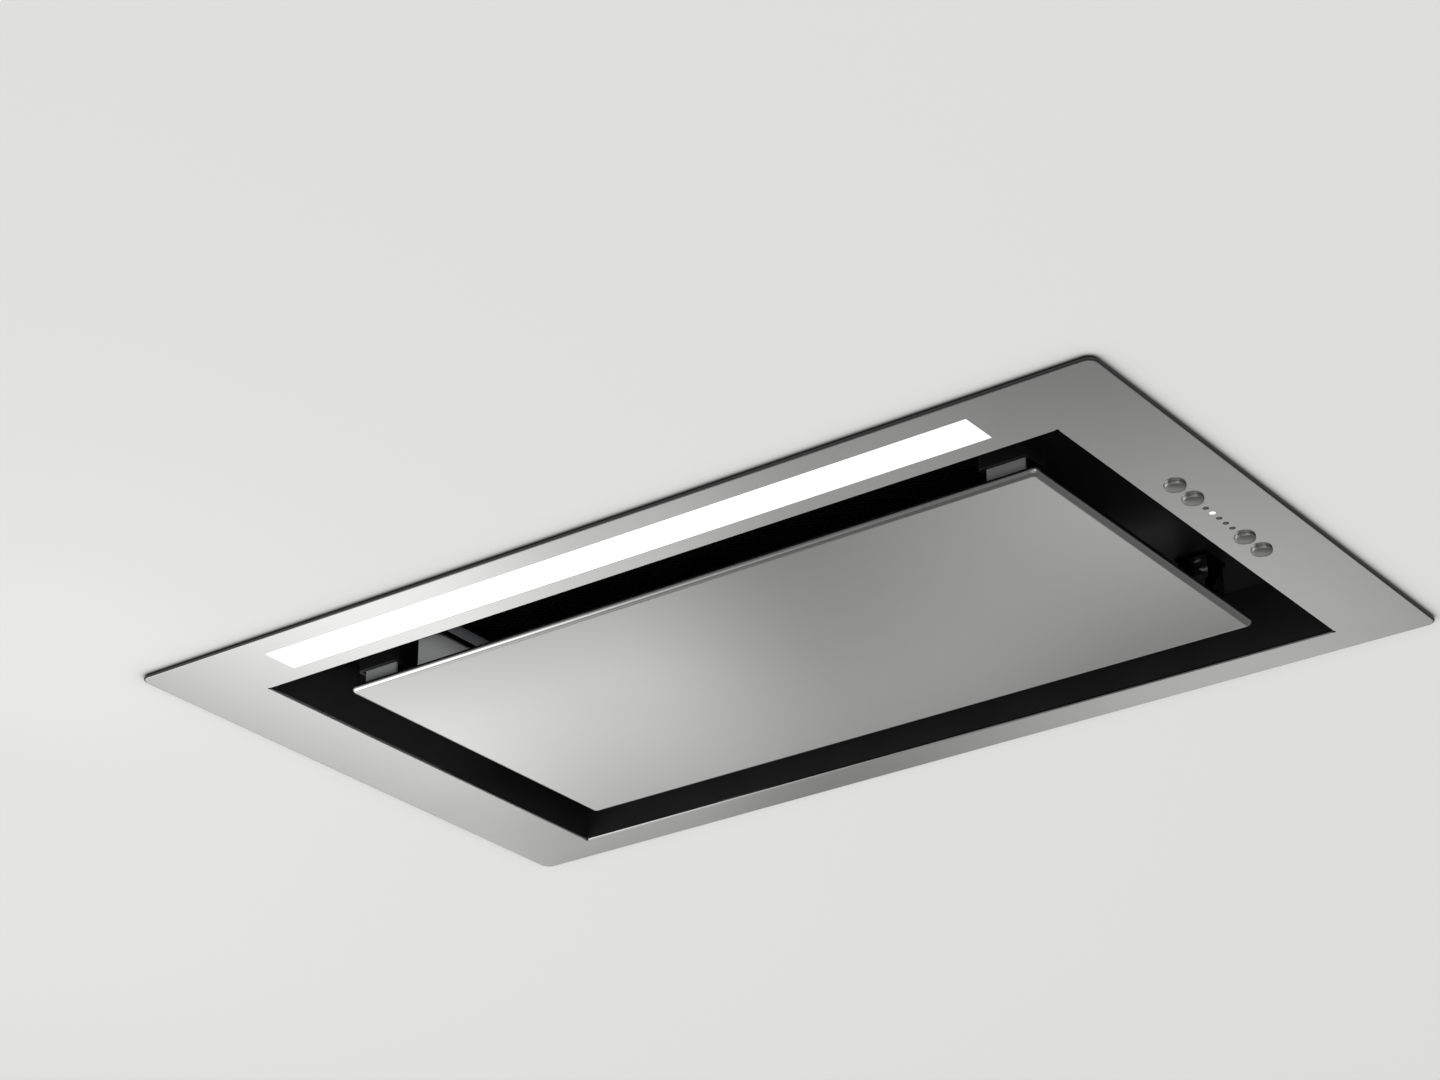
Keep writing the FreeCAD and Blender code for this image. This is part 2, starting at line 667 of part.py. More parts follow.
def button(y):
    """Round domed button that stands proud, with a retaining collar and a stem."""
    low = -BUTTON_PROUD
    seat = FRAME_SHEET + 0.05
    ball = (BUTTON_RADIUS ** 2 + BUTTON_CROWN ** 2) / (2 * BUTTON_CROWN)
    cap = rod_z(low, seat + 1.0, button_x, y, BUTTON_RADIUS)
    cap = cap.common(Part.makeSphere(ball, V(button_x, y, low + ball)))
    edge = bottom_edges(cap, low + BUTTON_CROWN)
    cap = cap.makeFillet(min(BUTTON_ROUND, 0.6 * (BUTTON_PROUD - BUTTON_CROWN)), edge)
    collar = rod_z(seat, seat + 1.0, button_x, y, BUTTON_RADIUS + BUTTON_COLLAR)
    stem = rod_z(seat, stem_top, button_x, y, SWITCH_SIZE / 2)
    return join([cap, collar, stem])


def button_carrier():
    """Plastic carrier behind the frame that guides buttons and light pipes."""
    x0, x1 = button_x - CARRIER_WIDTH / 2, button_x + CARRIER_WIDTH / 2
    block = box(x0, x1, -carrier_end, carrier_end, FRAME_SHEET, carrier_top)
    posts = []
    for y in (-carrier_end + 4, carrier_end - 4):
        posts.append(rod_z(carrier_top - 1, board_z, button_x, y, 3.0))
    cuts = []
    for y in button_ys:
        room = FRAME_SHEET + 1.05 + BUTTON_TRAVEL + 0.5
        cuts.append(rod_z(0, room, button_x, y, BUTTON_RADIUS + BUTTON_COLLAR + 0.3))
        cuts.append(rod_z(0, carrier_top + 1, button_x, y, SWITCH_SIZE / 2 + 0.1))
    for y in dot_ys:
        cuts.append(rod_z(0, carrier_top + 1, button_x, y, DOT_RADIUS + 0.05))
    return join([block] + posts).cut(cuts)


def indicator_lenses():
    """Clear light pipes from the control board to the frame's face."""
    pipes = []
    for y in dot_ys:
        pipes.append(rod_z(0.15, board_z - 0.3, button_x, y, DOT_RADIUS))
    return pipes


def control_board():
    """Board on the carrier's posts."""
    x0, x1 = button_x - CARRIER_WIDTH / 2, button_x + CARRIER_WIDTH / 2
    return box(x0, x1, -carrier_end, carrier_end, board_z, board_z + BOARD_SHEET)


def tact_switches():
    """Key switch above each button, hanging from the board."""
    switches = []
    half = SWITCH_SIZE / 2
    for y in button_ys:
        body = box(button_x - half, button_x + half, y - half, y + half, switch_tip + 0.6, board_z)
        tip = rod_z(switch_tip, switch_tip + 1, button_x, y, 1.75)
        switches.append(join([body, tip]))
    return switches


def side_screws():
    """Height and Y of every screw through a case side, and how deep it bites."""
    places = []
    for z in screw_zs:
        for y in (case_front_in + FOLD / 2, case_rear_in - FOLD / 2):
            places.append((y, z, 0.0))
    for y in clip_ys:
        for z in clip_holes:
            places.append((y, z, CLIP_SHEET))
    return places


def case_wall_y(outside, way):
    """Front or rear wall of the case with a fold at each side."""
    inside = outside + way * CASE_SHEET
    end = inside + way * FOLD
    wall = box(-case_x, case_x, min(outside, inside), max(outside, inside), FRAME_SHEET,
               case_top_in)
    parts = [wall]
    for x0, x1 in ((-case_x_in, -case_x_in + CASE_SHEET), (case_x_in - CASE_SHEET, case_x_in)):
        parts.append(box(x0, x1, min(outside, end), max(outside, end), FRAME_SHEET, case_top_in))
    y = inside + way * FOLD / 2
    holes = [rod_x(-case_x - 1, case_x + 1, y, z, SCREW_RADIUS) for z in screw_zs]
    return join(parts).cut(holes)


def case_wall_x(side):
    """Left (-1) or right (1) wall of the case."""
    wall = box(case_x_in, case_x, case_front_in, case_rear_in, FRAME_SHEET, case_top_in)
    holes = [rod_x(case_x_in - 1, case_x + 1, y, z, SCREW_RADIUS) for y, z, _ in side_screws()]
    wall = wall.cut(holes)
    return wall if side > 0 else mirrored(wall)


def collar_screw_places():
    """Corners of the collar's flange."""
    x = COLLAR_RADIUS + COLLAR_BORDER - 6
    return [(a, b) for a in (-x, x) for b in (-x, x)]


def case_top():
    """Top of the case with the blower's outlet and the holes for leads."""
    plate = box(-case_x, case_x, case_front, case_rear, case_top_in, case_top_z)
    y0, y1 = blower_y + tongue_y, blower_y + SCROLL_END
    cuts = [box(-scroll_x, scroll_x, y0, y1, 0, case_top_z + 1)]
    for x, y, r in lead_places():
        cuts.append(rod_z(case_top_in - 1, case_top_z + 1, x, y, r))
    cuts.append(rod_z(case_top_in - 1, case_top_z + 1, motor_hole_x, motor_lead_y, motor_hole))
    for x, y in collar_screw_places():
        cuts.append(rod_z(case_top_in - 1, case_top_z + 1, x, y, SCREW_RADIUS))
    return plate.cut(cuts)


def case_screws():
    """Screws of the case walls, the clips and the outlet collar."""
    screws = []
    for y, z, lift in side_screws():
        x = case_x + lift
        shank = rod_x(x - 4, x, y, z, SCREW_RADIUS)
        head = rod_x(x, x + 1.6, y, z, SCREW_HEAD)
        screw = join([shank, head])
        screws += [screw, mirrored(screw)]
    for x, y in collar_screw_places():
        shank = rod_z(case_top_in - 2, collar_base, x, y, SCREW_RADIUS)
        head = rod_z(collar_base, collar_base + 1.8, x, y, SCREW_HEAD)
        screws.append(join([shank, head]))
    return screws


def spiral(angle, extra):
    """Point of the scroll, measured round the blower's axis from the rear upwards."""
    part = (angle - TONGUE_ANGLE) / (360 - TONGUE_ANGLE)
    r = SCROLL_START + (SCROLL_END - SCROLL_START) * part + extra
    a = math.radians(angle)
    return V(0, blower_y + r * math.cos(a), blower_z + r * math.sin(a))


def spiral_arcs(first, extra, x):
    """Scroll as four arcs from an angle to the outlet's outer wall."""
    arcs = []
    step = (360 - first) / 4
    for i in range(4):
        a = first + i * step
        points = [spiral(b, extra) + V(x, 0, 0) for b in (a, a + step / 2, a + step)]
        arcs.append(Part.Arc(*points).toShape())
    return arcs


def scroll_wrap():
    """Curved sheet of the blower housing, from the tongue to the outlet."""
    t = SCROLL_SHEET
    x = -scroll_x
    first = TONGUE_ANGLE + math.degrees(t / SCROLL_START)
    inner, outer = spiral_arcs(TONGUE_ANGLE, 0, x), spiral_arcs(first, t, x)
    start, end = spiral(TONGUE_ANGLE, 0), spiral(360, 0)
    back, far = spiral(first, t), spiral(360, t)
    top = case_top_in
    lines = [
        Part.makeLine(V(x, start.y, top), V(x, start.y, start.z)),
        Part.makeLine(V(x, end.y, end.z), V(x, end.y, top)),
        Part.makeLine(V(x, end.y, top), V(x, far.y, top)),
        Part.makeLine(V(x, far.y, top), V(x, far.y, far.z)),
        Part.makeLine(V(x, back.y, back.z), V(x, back.y, top)),
        Part.makeLine(V(x, back.y, top), V(x, start.y, top)),
    ]
    edges = [lines[0]] + inner + lines[1:4] + outer[::-1] + lines[4:]
    return plate_yz(Part.__sortEdges__(edges), x, scroll_x)


def mount_places():
    """Y and Z of the three motor mounts round the axis."""
    places = []
    for angle in (90, 210, 330):
        a = math.radians(angle)
        places.append((blower_y + MOUNT_RADIUS * math.cos(a),
                       blower_z + MOUNT_RADIUS * math.sin(a)))
    return places


def scroll_cheek(side):
    """Side of the blower housing with its air inlet."""
    t = SCROLL_SHEET
    x0 = scroll_x if side > 0 else -scroll_x - t
    first = TONGUE_ANGLE + math.degrees(t / SCROLL_START)
    back, far = spiral(first, t), spiral(360, t)
    top = case_top_in
    edges = spiral_arcs(first, t, x0) + [
        Part.makeLine(V(x0, far.y, far.z), V(x0, far.y, top)),
        Part.makeLine(V(x0, far.y, top), V(x0, back.y, top)),
        Part.makeLine(V(x0, back.y, top), V(x0, back.y, back.z)),
    ]
    cheek = plate_yz(Part.__sortEdges__(edges), x0, x0 + t)
    cuts = [rod_x(x0 - 1, x0 + t + 1, blower_y, blower_z, INLET_RADIUS)]
    if side < 0:
        for y, z in mount_places():
            cuts.append(rod_x(x0 - 1, x0 + t + 1, y, z, SCREW_RADIUS))
    return cheek.cut(cuts)


def blade(angle, x0, x1):
    """One forward-curved blade of the wheel."""
    r_out, r_in = WHEEL_RADIUS - 0.6, WHEEL_RADIUS - BLADE_DEPTH
    lean = 9.0

    def at(r, turn):
        a = math.radians(angle + turn)
        return V(x0, blower_y + r * math.cos(a), blower_z + r * math.sin(a))

    wide = math.degrees(BLADE_SHEET / WHEEL_RADIUS)
    mid = (r_out + r_in) / 2
    edges = [
        Part.Arc(at(r_in, 0), at(mid, lean * 0.3), at(r_out, lean)).toShape(),
        Part.makeLine(at(r_out, lean), at(r_out, lean + wide)),
        Part.Arc(at(r_out, lean + wide), at(mid, lean * 0.3 + wide), at(r_in, wide)).toShape(),
        Part.makeLine(at(r_in, wide), at(r_in, 0)),
    ]
    return plate_yz(edges, x0, x1)


def impeller():
    """Double-inlet wheel: middle disc with hub, two rows of blades and two end rings."""
    y, z = blower_y, blower_z
    half = WHEEL_LENGTH / 2
    parts = [rod_x(-1.5, 1.5, y, z, WHEEL_RADIUS), rod_x(-10, 10, y, z, 3 * SHAFT_RADIUS)]
    for x0, x1 in ((-half, -half + 4), (half - 4, half)):
        ring = rod_x(x0, x1, y, z, WHEEL_RADIUS)
        parts.append(ring.cut(rod_x(x0 - 1, x1 + 1, y, z, WHEEL_RADIUS - BLADE_DEPTH + 2)))
    for i in range(BLADE_COUNT):
        angle = i * 360 / BLADE_COUNT
        parts.append(blade(angle, -half + 2, -1))
        parts.append(blade(angle, 1, half - 2))
    wheel = parts[0].multiFuse(parts[1:])
    return wheel.cut(rod_x(-20, 20, y, z, SHAFT_RADIUS + PRESS_GAP))


def motor_shaft():
    """Shaft from the motor into the wheel's hub."""
    return rod_x(motor_end + 4, 12, blower_y, blower_z, SHAFT_RADIUS)


def motor_bearings():
    """Bearing in each end of the motor."""
    rings = []
    for x in (motor_end + 5, motor_nose - BEARING_LENGTH - 2):
        ring = rod_x(x, x + BEARING_LENGTH, blower_y, blower_z, BEARING_RADIUS)
        rings.append(ring.cut(rod_x(x - 1, x + 20, blower_y, blower_z,
                                    SHAFT_RADIUS + RUNNING_GAP)))
    return rings


def motor_body():
    """Motor can with stepped end bells."""
    y, z = blower_y, blower_z
    can = rod_x(motor_end + 10, motor_nose - 10, y, z, MOTOR_RADIUS)
    bell = rod_x(motor_end, motor_nose, y, z, MOTOR_RADIUS * 0.62)
    bore = rod_x(motor_end + 3, motor_nose + 1, y, z, SHAFT_RADIUS + 1.5)
    pockets = []
    for x in (motor_end + 5, motor_nose - BEARING_LENGTH - 2):
        pockets.append(rod_x(x, x + BEARING_LENGTH, y, z, BEARING_RADIUS))
    return join([can, bell]).cut([bore] + pockets)


def motor_bracket():
    """Three-armed bracket that carries the motor in the left inlet."""
    x1 = motor_end
    x0 = x1 - ARM_SHEET
    parts = [rod_x(x0, x1, blower_y, blower_z, MOTOR_RADIUS * 0.62)]
    for angle in (90, 210, 330):
        arm = box(x0, x1, 0, MOUNT_RADIUS + 7, -7, 7)
        arm.rotate(V(0, 0, 0), V(1, 0, 0), angle)
        arm.translate(V(0, blower_y, blower_z))
        parts.append(arm)
    holes = [rod_x(x0 - 1, x1 + 1, y, z, SCREW_RADIUS) for y, z in mount_places()]
    return join(parts).cut(holes)


def motor_grommets():
    """Rubber mount under each arm of the motor bracket."""
    mounts = []
    for y, z in mount_places():
        mount = rod_x(motor_end, motor_end + MOUNT_LENGTH, y, z, 6.0)
        mounts.append(mount.cut(rod_x(motor_end - 1, motor_end + 9, y, z, SCREW_RADIUS)))
    return mounts


def blower_screws():
    """Screws through arms, rubber mounts and cheek."""
    x = motor_end - ARM_SHEET
    screws = []
    for y, z in mount_places():
        shank = rod_x(x, -scroll_x + 1.5, y, z, SCREW_RADIUS)
        head = rod_x(x - 2, x, y, z, SCREW_HEAD)
        screws.append(join([shank, head]))
    return screws


def outlet_collar():
    """Round duct collar on a square flange, with a seat for the flaps."""
    r, t = COLLAR_RADIUS, COLLAR_WALL
    side = r + COLLAR_BORDER
    flange = rounded_box(-side, side, -side, side, case_top_z, collar_base, 8.0)
    pipe = rod_z(case_top_z, collar_base + COLLAR_HEIGHT, 0, 0, r)
    cuts = [
        rod_z(collar_base, collar_base + COLLAR_HEIGHT + 1, 0, 0, r - t),
        rod_z(case_top_z - 1, collar_base + 1, 0, 0, r - t - FLAP_SEAT),
        rod_x(-r + 0.5, r - 0.5, 0, flap_z, FLAP_PIN),
    ]
    for x, y in collar_screw_places():
        cuts.append(rod_z(case_top_z - 1, collar_base + 1, x, y, SCREW_RADIUS))
    return join([flange, pipe]).cut(cuts)


def damper_pin():
    """Pin across the collar for both flaps."""
    r = COLLAR_RADIUS - 0.6
    return rod_x(-r, r, 0, flap_z, FLAP_PIN)


def damper_flap(way):
    """Half-round flap on the front (-1) or rear (1) side of the pin."""
    r = COLLAR_RADIUS - COLLAR_WALL - 1.3
    low = collar_base + SIDE_GAP
    high = low + FLAP_SHEET
    near = FLAP_EYE + 0.6
    disc = rod_z(low, high, 0, 0, r)
    half = box(-r, r, near, r + 1, low - 1, high + 1)
    if way < 0:
        half = half.mirror(V(0, 0, 0), V(0, 1, 0))
    parts = [disc.common(half)]
    pitch = COLLAR_RADIUS * 0.32
    for x in (-1.5 * pitch * way, 0.5 * pitch * way):
        x0, x1 = x - pitch / 3, x + pitch / 3
        web = box(x0, x1, 0, near + 4, low, high)
        if way < 0:
            web = web.mirror(V(0, 0, 0), V(0, 1, 0))
        parts += [web, rod_x(x0, x1, 0, flap_z, FLAP_EYE)]
    bore = rod_x(-r, r, 0, flap_z, FLAP_PIN + RUNNING_GAP)
    return join(parts).cut(bore)


def electronics_box():
    """Open plastic box on the case top, with board posts and lead holes."""
    w = BOX_WALL
    shell = box(box_left, box_right, box_front, box_rear, case_top_z, box_top)
    room = box(box_left + w, box_right - w, box_front + w, box_rear - w, box_floor, box_top + 1)
    posts = []
    for x, y in board_post_places():
        posts.append(rod_z(case_top_z, board_floor, x, y, POST_RADIUS))
    cuts = [rod_y(box_rear - w - 1, box_rear + 1, gland_x, gland_z, GLAND_RADIUS)]
    for x, y, r in lead_places():
        cuts.append(rod_z(case_top_z - 1, box_floor + 1, x, y, THIN_LEAD))
    cuts.append(rod_z(case_top_z - 1, box_floor + 1, motor_hole_x, motor_lead_y, motor_hole))
    return join([shell.cut(room)] + posts).cut(cuts)


def board_limits():
    """Outline of the power board in the box."""
    return (box_left + POWER_LEFT, box_right - POWER_RIGHT, box_front + POWER_FRONT,
            box_rear - POWER_REAR)


def board_post_places():
    """Corners of the power board."""
    x0, x1, y0, y1 = board_limits()
    i = POST_INSET
    return [(x, y) for x in (x0 + i, x1 - i) for y in (y0 + i, y1 - i)]


def power_board():
    """Power board on the box's posts."""
    x0, x1, y0, y1 = board_limits()
    return box(x0, x1, y0, y1, board_floor, board_floor + BOARD_SHEET)


def board_components():
    """Transformer, relays, capacitor and connectors on the power board."""
    x0, x1, y0, y1 = board_limits()
    z = board_floor + BOARD_SHEET
    room = box_top - z
    w, d = x1 - x0, y1 - y0
    parts = [box(x0 + 0.18 * w, x0 + 0.65 * w, y0 + 0.08 * d, y0 + 0.31 * d, z, z + room * 0.8)]
    for i in range(3):
        y = y0 + (0.41 + 0.18 * i) * d
        parts.append(box(x0 + 0.18 * w, x0 + 0.47 * w, y, y + 0.13 * d, z, z + room * 0.55))
    parts.append(rod_y(y0 + 0.43 * d, y0 + 0.85 * d, x1 - 0.24 * w, z + room * 0.4, room * 0.4))
    for i in range(2):
        y = y0 + (0.10 + 0.15 * i) * d
        parts.append(box(x1 - 0.24 * w, x1 - 0.09 * w, y, y + 0.11 * d, z, z + room * 0.4))
    return parts


def terminal_block():
    """Mains terminal block on the box floor beside the gland."""
    half = TERMINAL_WIDTH / 2
    y0, top = terminal_rear - TERMINAL_DEPTH, box_floor + TERMINAL_HEIGHT
    block = box(terminal_x - half, terminal_x + half, y0, terminal_rear, box_floor, top)
    cuts = []
    for i in (-1, 0, 1):
        x = terminal_x + i * TERMINAL_WIDTH / 3.2
        cuts.append(rod_z(top - TERMINAL_HEIGHT / 2, top + 1, x, terminal_rear - TERMINAL_DEPTH / 2,
                          POST_RADIUS))
    return block.cut(cuts)


def electronics_lid():
    """Lid of the electronics box with a lip inside the walls."""
    w = BOX_WALL + 0.3
    plate = rounded_box(box_left, box_right, box_front, box_rear, box_top, box_top + LID_SHEET, 3.0)
    lip = box(box_left + w, box_right - w, box_front + w, box_rear - w, box_top - 4, box_top + 1)
    room = box(box_left + w + 1.5, box_right - w - 1.5, box_front + w + 1.5, box_rear - w - 1.5,
               box_top - 5, box_top)
    return join([plate, lip]).cut(room)


def cable_gland():
    """Gland in the rear wall of the box for the supply cable."""
    y1 = box_rear + GLAND_LENGTH - 7
    body = rod_y(box_rear - 7, y1, gland_x, gland_z, GLAND_RADIUS)
    flange = rod_y(box_rear, box_rear + 4, gland_x, gland_z, GLAND_RADIUS + 3)
    nut = rod_y(box_rear - BOX_WALL - 4, box_rear - BOX_WALL, gland_x, gland_z, GLAND_RADIUS + 3)
    bore = rod_y(box_rear - 20, y1 + 1, gland_x, gland_z, GLAND_BORE)
    return join([body, flange, nut]).cut(bore)


def cabinet_clip(side, y):
    """Bent leaf spring on a case side that holds the hood in the cut-out."""
    t = CLIP_SHEET
    low = seat_z + BOARD_THICKNESS + 1.5
    x = case_x
    outer = [(x, clip_foot + CLIP_FOOT), (x, clip_foot), (x + CLIP_REACH, low + CLIP_REACH),
             (x + CLIP_REACH / 4, low)]
    ring = outer + [(a + t, b) for a, b in outer[::-1]] + outer[:1]
    face = Part.Face(Part.Wire(Part.makePolygon([V(a, y - CLIP_WIDTH / 2, b) for a, b in ring])))
    clip = face.extrude(V(0, CLIP_WIDTH, 0))
    holes = []
    for z in clip_holes:
        holes.append(rod_x(x - 1, x + t + 1, y, z, SCREW_RADIUS))
    clip = clip.cut(holes)
    return clip if side > 0 else mirrored(clip)


def motor_lead():
    """Lead from the motor up to the case top and into the electronics box."""
    z = blower_z + 12
    x0 = motor_end - ARM_SHEET
    x1 = x0 - 2 * LEAD_BEND
    points = [
        V(x0, blower_y, z),
        V(x1, blower_y, z),
        V(x1, motor_lead_y, motor_lead_z),
        V(motor_lead_x, motor_lead_y, motor_lead_z),
        V(motor_lead_x, motor_lead_y, box_floor + 14),
    ]
    return tube(points, LEAD_RADIUS, LEAD_BEND)


def control_leads():
    """Leads from the light channel and the control board up into the electronics box."""
    z = FRAME_SHEET + LIGHT_HEIGHT / 2
    light = tube([V(channel_x - LIGHT_SHEET, light_y, z), V(light_lead_x, light_y, z),
                  V(light_lead_x, light_y, box_floor + 3)], THIN_LEAD, LEAD_BEND)
    control = rod_z(board_z + BOARD_SHEET, box_floor + 3, button_x, control_lead_y, THIN_LEAD)
    return [light, control]


PARTS = {
    "frame_plate": frame_plate(),
    "frame_gasket": frame_gasket(),
    "light_diffuser": light_diffuser(),
    "light_channel": light_channel(),
    "light_board": light_board(),
    "light_leds": light_leds(),
    "skirt_front": skirt_y(open_front, -1),
    "skirt_rear": skirt_y(open_rear, 1),
    "skirt_left": skirt_x(-1),
    "skirt_right": skirt_x(1),
    "filter_deck": filter_deck(),
    "panel_skin": panel_skin(),
    "panel_back": panel_back(),
    "panel_strikes": [panel_strike(-1), panel_strike(1)],
    "panel_hinge_arms": [hinge_arm(-1), hinge_arm(1)],
    "catch_housings": [catch_housing(-1), catch_housing(1)],
    "catch_magnets": [catch_magnet(-1), catch_magnet(1)],
    "hinge_brackets": [hinge_bracket(-1), hinge_bracket(1)],
    "hinge_pins": [hinge_pin(-1), hinge_pin(1)],
    "deck_rivets": deck_rivets(),
    "filter_frame": filter_frame(),
    "filter_mesh": filter_mesh(),
    "filter_latch": filter_latch(),
    "power_button": button(button_ys[0]),
    "slower_button": button(button_ys[1]),
    "faster_button": button(button_ys[2]),
    "light_button": button(button_ys[3]),
    "button_carrier": button_carrier(),
    "indicator_lenses": indicator_lenses(),
    "control_board": control_board(),
    "tact_switches": tact_switches(),
    "case_front": case_wall_y(case_front, 1),
    "case_rear": case_wall_y(case_rear, -1),
    "case_left": case_wall_x(-1),
    "case_right": case_wall_x(1),
    "case_top": case_top(),
    "case_screws": case_screws(),
    "scroll_wrap": scroll_wrap(),
    "scroll_cheek_left": scroll_cheek(-1),
    "scroll_cheek_right": scroll_cheek(1),
    "impeller": impeller(),
    "motor_shaft": motor_shaft(),
    "motor_bearings": motor_bearings(),
    "motor_body": motor_body(),
    "motor_bracket": motor_bracket(),
    "motor_grommets": motor_grommets(),
    "blower_screws": blower_screws(),
    "outlet_collar": outlet_collar(),
    "damper_pin": damper_pin(),
    "damper_flap_front": damper_flap(-1),
    "damper_flap_rear": damper_flap(1),
    "electronics_box": electronics_box(),
    "electronics_lid": electronics_lid(),
    "power_board": power_board(),
    "board_components": board_components(),
    "terminal_block": terminal_block(),
    "cable_gland": cable_gland(),
    "cabinet_clips": [cabinet_clip(side, y) for side in (-1, 1) for y in clip_ys],
    "motor_lead": motor_lead(),
    "control_leads": control_leads(),
}

os.makedirs("parts", exist_ok=True)
for name, shape in PARTS.items():
    solids = shape if isinstance(shape, list) else [shape]
    whole = solids[0] if len(solids) == 1 else Part.makeCompound(solids)
    whole = whole.translated(V(0, 0, -seat_z))
    whole.exportStep("parts/" + name + ".step")
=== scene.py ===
"""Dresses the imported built-in range hood for rendering and export.

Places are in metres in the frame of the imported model: X to the right, Y to the rear and Z
up, with Z = 0 at the top of the foam strip. Sizes in the classes are in millimetres.
"""

import logging
import math
from dataclasses import dataclass
from enum import Enum
from typing import Any, Callable, ClassVar, Optional, Sequence

import bpy
from mathutils import Matrix, Vector


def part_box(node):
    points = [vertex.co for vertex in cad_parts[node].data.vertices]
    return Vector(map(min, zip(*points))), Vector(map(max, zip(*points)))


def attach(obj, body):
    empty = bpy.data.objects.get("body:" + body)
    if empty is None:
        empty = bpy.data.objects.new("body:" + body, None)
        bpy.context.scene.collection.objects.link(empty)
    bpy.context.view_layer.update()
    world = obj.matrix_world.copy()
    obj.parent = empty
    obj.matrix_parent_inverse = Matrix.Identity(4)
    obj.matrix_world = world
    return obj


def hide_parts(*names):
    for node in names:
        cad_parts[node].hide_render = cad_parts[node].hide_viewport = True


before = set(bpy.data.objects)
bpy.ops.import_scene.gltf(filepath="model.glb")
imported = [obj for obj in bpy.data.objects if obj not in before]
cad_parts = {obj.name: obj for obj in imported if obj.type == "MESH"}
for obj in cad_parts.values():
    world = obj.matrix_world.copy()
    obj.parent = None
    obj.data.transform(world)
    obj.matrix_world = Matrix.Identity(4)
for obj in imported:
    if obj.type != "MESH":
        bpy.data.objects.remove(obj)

LOG = logging.getLogger("range_hood")
MM = 0.001
Point = Sequence[float]
Pair = tuple[float, float]
Profile = Sequence[Pair]
Tree = bpy.types.NodeTree
Node = bpy.types.Node
Socket = bpy.types.NodeSocket
Test = Callable[[Vector, Vector], bool]


def mm(*values: float) -> Vector:
    """Turns three millimetre values into a place in metres."""
    return Vector(values) * MM


def linear(code: str) -> tuple[float, float, float, float]:
    """Turns an sRGB hex colour into the linear colour that a shader takes.

    Args:
        code: Six hex digits.

    Returns:
        Red, green, blue and an alpha of 1.
    """
    parts = [int(code[i:i + 2], 16) / 255 for i in (0, 2, 4)]
    red, green, blue = (p / 12.92 if p <= 0.04045 else ((p + 0.055) / 1.055) ** 2.4
                        for p in parts)
    return red, green, blue, 1.0


def feed(tree: Tree, node: Node, into: dict[Any, Any]) -> None:
    """Fills inputs of a shader node.

    Args:
        tree: Node tree of the node.
        node: Node whose inputs are filled.
        into: Value, or output socket to link, for each named or numbered input.
    """
    for key, value in into.items():
        if isinstance(value, Socket):
            tree.links.new(value, node.inputs[key])
        else:
            node.inputs[key].default_value = value


def add(
    tree: Tree,
    kind: str,
    into: Optional[dict[Any, Any]] = None,
    stops: Sequence[tuple[float, str]] = (),
    **settings: Any,
) -> Node:
    """Adds one shader node with its settings and links.

    Args:
        tree: Node tree that gets the node.
        kind: Blender's identifier of the node.
        into: What fills its inputs, as for feed.
        stops: Position and hex colour of the two stops of a colour ramp.
        settings: Properties of the node.

    Returns:
        The new node.
    """
    node = tree.nodes.new(kind)
    for key, value in settings.items():
        setattr(node, key, value)
    feed(tree, node, into or {})
    for index, (place, code) in enumerate(stops):
        stop = node.color_ramp.elements[index]
        stop.position = place
        stop.color = linear(code)
    return node


def new_material(name: str) -> tuple[bpy.types.Material, Tree, Node]:
    """Makes a material.

    Args:
        name: Name of the material.

    Returns:
        The material, its node tree and its Principled BSDF.
    """
    made = bpy.data.materials.new(name)
    made.use_nodes = True
    return made, made.node_tree, made.node_tree.nodes["Principled BSDF"]


class Pattern(Enum):
    """Texture that breaks up a surface, with the output that carries it."""

    CLOUDS = ("ShaderNodeTexNoise", "Fac")
    CELLS = ("ShaderNodeTexVoronoi", "Color")
    PITS = ("ShaderNodeTexVoronoi", "Distance")


